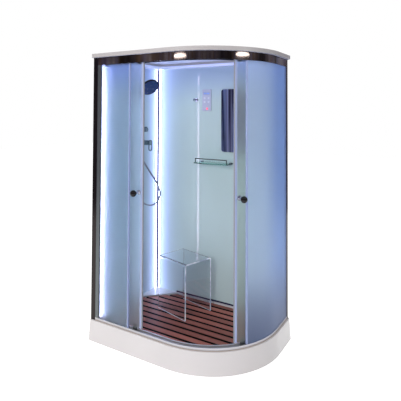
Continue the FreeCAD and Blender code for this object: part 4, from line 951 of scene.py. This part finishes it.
class CABIN_OT_handset(bpy.types.Operator):
    """Hand shower: domed head, dark blue face with its nozzles, tapered handle and hose nut"""

    bl_idname = "cabin.handset"
    bl_label = "Handset"

    def execute(self, context):
        made = finishes(context)
        details = context.scene.cabin_details
        head = turned_to(HANDSET_FACE, HANDSET_CENTRE)
        handle = turned_to(HANDLE_WAY, HANDLE_START)

        def forms(work):
            lathe(work, HEAD_PROFILE, head, HEAD_STEPS)
            lathe(work, FACE_PROFILE, head, HEAD_STEPS, 1)
            nozzle = [(details.nozzle * share, height) for share, height in NOZZLE_PROFILE]
            for radius, count, offset in NOZZLE_RINGS:
                for step in range(count):
                    turn = 2 * math.pi * (step + offset) / count
                    foot = Vector((radius * math.cos(turn), radius * math.sin(turn), NOZZLE_FOOT))
                    lathe(work, nozzle, head @ Matrix.Translation(foot), NOZZLE_STEPS, 2)
            lathe(work, HANDLE_PROFILE, handle, HANDLE_STEPS)
            ridges = [(0, HANDLE_LENGTH - 0.001), (0.0096, HANDLE_LENGTH - 0.001)]
            for step in range(NUT_RIDGES):
                height = HANDLE_LENGTH + 0.0012 + step * RIDGE_PITCH
                ridges += [(0.01, height), (0.0094, height + RIDGE_PITCH / 2)]
            end = HANDLE_LENGTH + NUT_LENGTH
            lathe(work, ridges + [(0.01, end - 0.001), (0.0088, end), (0, end)], handle, HANDLE_STEPS, 3)

        kinds = [made[name] for name in ("black_plastic", "face_plastic", "nozzle_rubber", "chrome")]
        piece = piece_from("handset_forms", forms, kinds, "handset")
        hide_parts("handset")
        return {"FINISHED"}


HOSE_ROUTE = (
    (-0.53, -0.005, 1.213),
    (-0.53, -0.005, 1.15),
    (-0.529, 0.01, 1.062),
    (-0.524, 0.048, 0.968),
    (-0.516, 0.112, 0.892),
    (-0.506, 0.2, 0.852),
    (-0.496, 0.292, 0.862),
    (-0.49, 0.345, 0.935),
    (-0.496, 0.286, 1.037),
    (-0.505, 0.198, 1.134),
    (-0.511, 0.106, 1.236),
    (-0.522, 0.038, 1.34),
    (-0.536, -0.026, 1.45),
    (-0.541, -0.054, 1.56),
    (-0.5379, -0.0537, 1.6345),
    (-0.5172, -0.0406, 1.6662),
)


def smooth_route(steps):
    """Points of the smooth line that the hose's route controls."""
    curve = bpy.data.curves.new("hose line", "CURVE")
    curve.dimensions = "3D"
    curve.resolution_u = steps
    line = curve.splines.new("NURBS")
    line.points.add(len(HOSE_ROUTE) - 1)
    for point, place in zip(line.points, HOSE_ROUTE):
        point.co = (*place, 1)
    line.order_u = 3
    line.use_endpoint_u = True
    holder = bpy.data.objects.new("hose line", curve)
    mesh = bpy.data.meshes.new_from_object(holder)
    path = [vertex.co.copy() for vertex in mesh.vertices]
    bpy.data.meshes.remove(mesh)
    bpy.data.objects.remove(holder)
    bpy.data.curves.remove(curve)
    return path


def evenly(path, pitch):
    """The path again, at steps of one pitch. Returns the points and the whole length."""
    total = sum((after - before).length for before, after in zip(path, path[1:]))
    count = max(2, round(total / pitch))
    wanted = [total * step / count for step in range(count + 1)]
    points, walked, place = [], 0.0, 0
    for goal in wanted:
        while place < len(path) - 2 and walked + (path[place + 1] - path[place]).length < goal:
            walked += (path[place + 1] - path[place]).length
            place += 1
        run = path[place + 1] - path[place]
        points.append(path[place] + run * min(1.0, (goal - walked) / run.length))
    return points, total


GROOVE_SHARE, HOSE_SIDES = 0.93, 12


class CABIN_OT_hose(bpy.types.Operator):
    """Steel spiral hose"""

    bl_idname = "cabin.hose"
    bl_label = "Hose"

    def execute(self, context):
        details = context.scene.cabin_details
        path, total = evenly(smooth_route(details.hose_steps), details.hose_rib / 2)
        groove = details.hose_radius * GROOVE_SHARE
        radii = [details.hose_radius if place % 2 else groove for place in range(len(path))]

        def spiral(work):
            tube(work, path, details.hose_radius, HOSE_SIDES, radii)

        hose = piece_from("hose_spiral", spiral, [finishes(context)["steel_spiral"]], "cabin")
        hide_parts("hose")
        return {"FINISHED"}


class CABIN_OT_wall_fittings(bpy.types.Operator):
    """Robe hook, mirror and shelf"""

    bl_idname = "cabin.wall_fittings"
    bl_label = "Hook, mirror and shelf"

    def execute(self, context):
        dress(context, ["mirror_studs"], "chrome")
        dress(context, ["robe_hook", "shelf_brackets"], "smoked_chrome")
        dress(context, ["shelf_rail"], "dark_chrome")
        dress(context, ["mirror"], "mirror")
        dress(context, ["shelf_glass"], "shelf_glass")
        return {"FINISHED"}


DISPLAY_HALF, DISPLAY_LOW, DISPLAY_TOP = 0.034, 0.048, 0.02
MARKS, MARK_PITCH, MARK_HALF, MARK_LOW, MARK_TOP = 4, 0.013, 0.0035, 0.0395, 0.0285
KEY_ASIDE, KEY_TOP, KEY_PITCH = 0.018, 0.072, 0.03
KEY_PROFILE = ((0.0085, 0), (0.0085, 0.0008), (0.0078, 0.0012), (0.0072, 0.0009), (0, 0.0009))
KEY_RING_PROFILE = ((0.0042, 0.0009), (0.0042, 0.0013), (0.0034, 0.0013), (0.0034, 0.0009))
SURROUND_PROFILE = ((0.0083, 0), (0.0083, 0.0009), (0.0096, 0.0009), (0.0104, 0.0003), (0.0104, 0))


class CABIN_OT_control_panel(bpy.types.Operator):
    """Control panel with its marks, keys and lit button"""

    bl_idname = "cabin.control_panel"
    bl_label = "Control panel"

    def execute(self, context):
        made = finishes(context)
        dress(context, ["control_panel"], "panel", 0.0015)
        dress(context, ["power_button"], "red_glow", 0.0008)
        low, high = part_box("control_panel")
        middle, face = (low[0] + high[0]) / 2, low[1]
        outward = (0, -1, 0)

        def display(work):
            block(work, (middle - DISPLAY_HALF, face - 0.0008, high[2] - DISPLAY_LOW),
                  (middle + DISPLAY_HALF, face, high[2] - DISPLAY_TOP))
            for step in range(MARKS):
                x = middle + MARK_PITCH * (step - (MARKS - 1) / 2)
                block(work, (x - MARK_HALF, face - 0.0012, high[2] - MARK_LOW),
                      (x + MARK_HALF, face - 0.0006, high[2] - MARK_TOP))
                for face_made in work.faces[-6:]:
                    face_made.material_index = 1

        piece_from("panel_display", display, [made["display"], made["blue_glow"]], "cabin")

        def keys(work):
            for row in range(2):
                for side in (-1, 1):
                    foot = Vector((middle + KEY_ASIDE * side, face, high[2] - KEY_TOP - KEY_PITCH * row))
                    lathe(work, KEY_PROFILE, turned_to(outward, foot), 32)
                    lathe(work, KEY_RING_PROFILE, turned_to(outward, foot), 32, 1)

        piece_from("panel_keys", keys, [made["white_plastic"], made["blue_glow"]], "cabin")
        ring = middle_of("power_button")
        ring.y = face

        def surround(work):
            lathe(work, SURROUND_PROFILE, turned_to(outward, ring), 40)

        piece_from("power_surround", surround, [made["satin_metal"]], "cabin")
        return {"FINISHED"}


STOOL_PLACE, STOOL_TURN = (-0.141, 0.156, 0), math.radians(-16)
BEND_SIDES, CORNER_IN = 6, 0.3


class CABIN_OT_stool(bpy.types.Operator):
    """Clear stool with its sawn edges in a painted glow, and painted highlights along its bends"""

    bl_idname = "cabin.stool"
    bl_label = "Stool"

    def execute(self, context):
        dress(context, ["stool"], "clear_acrylic")
        proud = context.scene.cabin_details.sheet_edge
        place = Matrix.Translation(STOOL_PLACE) @ Matrix.Rotation(STOOL_TURN, 4, "Z")
        deck_top, seat_top, half, deep, sheet, bend = 0.12, 0.52, 0.148, 0.136, 0.01, 0.016

        def profile(inset):
            """The arch's outline at an inset from its outer face, as (y, z) pairs from foot to foot."""
            points = [(-deep + inset, deck_top)]
            for sign, first in ((-1, math.pi), (1, math.pi / 2)):
                for step in range(BEND_SIDES + 1):
                    turn = first - math.pi / 2 * step / BEND_SIDES
                    points.append((sign * (deep - bend) + (bend - inset) * math.cos(turn),
                                   seat_top - bend + (bend - inset) * math.sin(turn)))
            return points + [(deep - inset, deck_top)]

        def edges(work):
            outer, inner = profile(0), profile(sheet)
            for side in (-1, 1):
                near = [[work.verts.new(place @ Vector((side * (half + depth), y, z))) for y, z in line]
                        for depth in (0, proud) for line in (outer, inner)]
                base_out, base_in, face_out, face_in = near
                for step in range(len(outer) - 1):
                    for first, second in ((face_out, face_in), (base_out, face_out), (face_in, base_in)):
                        work.faces.new([first[step], first[step + 1], second[step + 1], second[step]])
                for end in (0, -1):
                    work.faces.new([base_out[end], face_out[end], face_in[end], base_in[end]])
            # Thin tubes along the outer bends are painted highlights.
            for side in (-1, 1):
                corner = (side * (deep - CORNER_IN * bend), seat_top - CORNER_IN * bend)
                tube(work, [place @ Vector((x, *corner)) for x in (-half, half)], proud)
            for back in (-deep, deep - sheet):
                block(work, (-half + proud, back + proud, deck_top + proud),
                      (half - proud, back + sheet - proud, deck_top + 3 * proud), place)

        piece_from("stool_edges", edges, [finishes(context)["sawn_acrylic"]], "stool")
        return {"FINISHED"}


class CABIN_OT_stage(bpy.types.Operator):
    """Floor, lamps, world and camera"""

    bl_idname = "cabin.stage"
    bl_label = "Stage"

    def execute(self, context):
        stage = context.scene.cabin_stage
        add_floor(stage)
        add_lamps()
        add_studio_wall()
        add_world(context, stage)
        add_camera(context, stage)
        context.scene.view_settings.view_transform = "Standard"
        return {"FINISHED"}


FLOOR_SEEN = 0.72


def add_floor(stage):
    """A plain pale floor that stays white around the cabin's shadow."""
    half = stage.floor / 2
    mesh = bpy.data.meshes.new("floor")
    corners = [(-half, -half, 0), (half, -half, 0), (half, half, 0), (-half, half, 0)]
    mesh.from_pydata(corners, [], [(0, 1, 2, 3)])
    floor = put_in_scene("floor", mesh)
    paint = finish("pale floor", (0.9, 0.9, 0.9), 0.8, 0.95, 2, 0.02, Specular_IOR_Level=0.0)
    shader = paint.node_tree.nodes["Principled BSDF"]
    shader.inputs["Emission Color"].default_value = (1, 1, 1, 1)
    paint.node_tree.links.new(seen_share(paint.node_tree, 0.0, FLOOR_SEEN), shader.inputs["Emission Strength"])
    mesh.materials.append(paint)


LAMPS = {
    "key lamp": ((0.8, -4.1, 2.3), (2.0, 1.6), 82, (1, 0.97, 0.96)),
    "left lamp": ((-3.2, -2.4, 2.4), (1.6, 2.4), 30, (1, 0.98, 0.97)),
    "top lamp": ((0.0, 0.0, 4.2), (3.0, 3.0), 15, (1, 1, 1)),
    "right lamp": ((3.4, 0.4, 2.0), (1.4, 2.4), 3, (0.85, 0.92, 1)),
    "back lamp": ((-0.6, 3.6, 3.0), (3.0, 2.0), 30, (1, 1, 1)),
    "left header lamp": ((-0.65, -3.75, 2.45), (1.3, 0.06), 2.5, (1, 0.97, 0.95)),
    "right header lamp": ((3.4, -0.55, 2.4), (1.3, 0.06), 2.5, (1, 0.97, 0.95)),
}


def add_lamps():
    """Soft lamps on all sides, each turned to the cabin's middle."""
    goal = Vector((0, 0, 1))
    for name, (place, size, power, rgb) in LAMPS.items():
        lamp = bpy.data.lights.new(name, "AREA")
        lamp.shape = "ELLIPSE"
        lamp.size, lamp.size_y = size
        lamp.energy = power
        lamp.color = rgb
        holder = put_in_scene(name, lamp)
        holder.location = place
        holder.visible_camera = False
        holder.visible_glossy = "header" in name
        holder.rotation_euler = (goal - Vector(place)).to_track_quat("-Z", "Y").to_euler()


STUDIO_WALL_STOPS = ((0.0, (0.02, 0.02, 0.03)), (0.36, (0.05, 0.04, 0.06)), (0.41, (0.4, 0.28, 0.17)),
                     (0.45, (0.04, 0.035, 0.08)), (0.49, (0.45, 0.43, 0.75)), (0.52, (0.05, 0.04, 0.08)),
                     (0.56, (0.85, 0.85, 0.95)), (0.59, (0.09, 0.07, 0.12)), (0.64, (0.38, 0.28, 0.18)),
                     (0.7, (0.03, 0.025, 0.03)))


def add_studio_wall():
    """A round studio wall with soft upright bands behind the camera, which only metal and mirror reflect."""
    radius, height, first, last, steps = 4.7, 4.5, math.radians(-175), math.radians(85), 64
    mesh = bpy.data.meshes.new("studio_wall")
    ring = [first + (last - first) * step / steps for step in range(steps + 1)]
    points = [(radius * math.cos(turn), radius * math.sin(turn), z) for turn in ring for z in (0.02, height)]
    mesh.from_pydata(points, [], [(2 * n, 2 * n + 2, 2 * n + 3, 2 * n + 1) for n in range(steps)])
    wall = put_in_scene("studio_wall", mesh)
    wall.visible_camera = wall.visible_diffuse = wall.visible_shadow = False
    paint = finish("studio wall", (0.02, 0.02, 0.02), 0.8, 0.95, 2, 0.02, Emission_Strength=1.0)
    tree = paint.node_tree
    squeezed = vectors(tree, "MULTIPLY", place_in(tree), (1, 1, 0.03))
    noise = node(tree, "ShaderNodeTexNoise", {"Vector": squeezed, "Scale": 9, "Detail": 5}, "Fac")
    bands = tree.nodes.new("ShaderNodeValToRGB")
    ramp = bands.color_ramp.elements
    for number, (share, rgb) in enumerate(STUDIO_WALL_STOPS):
        stop = ramp[number] if number < 2 else ramp.new(share)
        stop.position, stop.color = share, opaque(rgb)
    tree.links.new(noise, bands.inputs["Fac"])
    tree.links.new(bands.outputs["Color"], tree.nodes["Principled BSDF"].inputs["Emission Color"])
    mesh.materials.append(paint)


def seen_share(tree, unseen, seen):
    """A number that is one value where the camera, gloss or glass sees the surface, and another elsewhere."""
    path = tree.nodes.new("ShaderNodeLightPath").outputs
    direct = maths(tree, "MAXIMUM", path["Is Camera Ray"], path["Is Glossy Ray"])
    either = maths(tree, "MAXIMUM", direct, path["Is Transmission Ray"])
    return ranged(tree, either, to_min=unseen, to_max=seen)


def add_world(context, stage):
    """A white surround for the camera, glass and metal, and a softer light on the cabin."""
    world = bpy.data.worlds.new("white studio")
    context.scene.world = world
    world.use_nodes = True
    tree = world.node_tree
    sky = tree.nodes["Background"]
    sky.inputs["Color"].default_value = (1, 1, 1, 1)
    tree.links.new(seen_share(tree, stage.world, 1.0), sky.inputs["Strength"])


SENSOR_WIDTH = 36


def add_camera(context, stage):
    """The camera at the photograph's place and angle."""
    ahead = Vector((-math.sin(stage.yaw) * math.cos(stage.pitch), math.cos(stage.yaw) * math.cos(stage.pitch),
                    math.sin(stage.pitch)))
    level = Vector((math.cos(stage.yaw), math.sin(stage.yaw), 0))
    upright = level.cross(ahead)
    side = level * math.cos(stage.roll) + upright * math.sin(stage.roll)
    top = upright * math.cos(stage.roll) - level * math.sin(stage.roll)
    lens = bpy.data.cameras.new("camera")
    lens.lens = stage.lens
    lens.sensor_width = SENSOR_WIDTH
    lens.shift_x = stage.shift_x
    lens.shift_y = stage.shift_y
    camera = put_in_scene("camera", lens)
    camera.matrix_world = Matrix.Translation(stage.eye) @ Matrix((side, top, -ahead)).transposed().to_4x4()
    context.scene.camera = camera


OPERATORS = (
    CABIN_OT_stage,
    CABIN_OT_hose,
    CABIN_OT_tray,
    CABIN_OT_deck,
    CABIN_OT_metalwork,
    CABIN_OT_front_glass,
    CABIN_OT_doors,
    CABIN_OT_walls,
    CABIN_OT_lights,
    CABIN_OT_roof,
    CABIN_OT_mixer,
    CABIN_OT_handset,
    CABIN_OT_wall_fittings,
    CABIN_OT_control_panel,
    CABIN_OT_stool,
)
GROUPS_OF_SETTINGS = {
    "cabin_finishes": CabinFinishes,
    "cabin_details": CabinDetails,
    "cabin_stage": CabinStage,
}


class CABIN_PT_panel(bpy.types.Panel):
    """Lists the cabin's pieces and their settings"""

    bl_idname = "CABIN_PT_panel"
    bl_label = "Shower cabin"
    bl_space_type = "VIEW_3D"
    bl_region_type = "UI"
    bl_category = "Shower cabin"

    def draw(self, context):
        for settings, kind in GROUPS_OF_SETTINGS.items():
            for name in kind.__annotations__:
                self.layout.prop(getattr(context.scene, settings), name)
        for operator in OPERATORS:
            self.layout.operator(operator.bl_idname)


def register():
    for kind in (*GROUPS_OF_SETTINGS.values(), *OPERATORS, CABIN_PT_panel):
        bpy.utils.register_class(kind)
    for settings, kind in GROUPS_OF_SETTINGS.items():
        setattr(bpy.types.Scene, settings, PointerProperty(type=kind))


def unregister():
    for settings in GROUPS_OF_SETTINGS:
        delattr(bpy.types.Scene, settings)
    for kind in (CABIN_PT_panel, *reversed(OPERATORS), *GROUPS_OF_SETTINGS.values()):
        bpy.utils.unregister_class(kind)


def main():
    """Makes the whole cabin."""
    register()
    for operator in OPERATORS:
        family, name = operator.bl_idname.split(".")
        getattr(getattr(bpy.ops, family), name)()


if __name__ == "__main__":
    main()
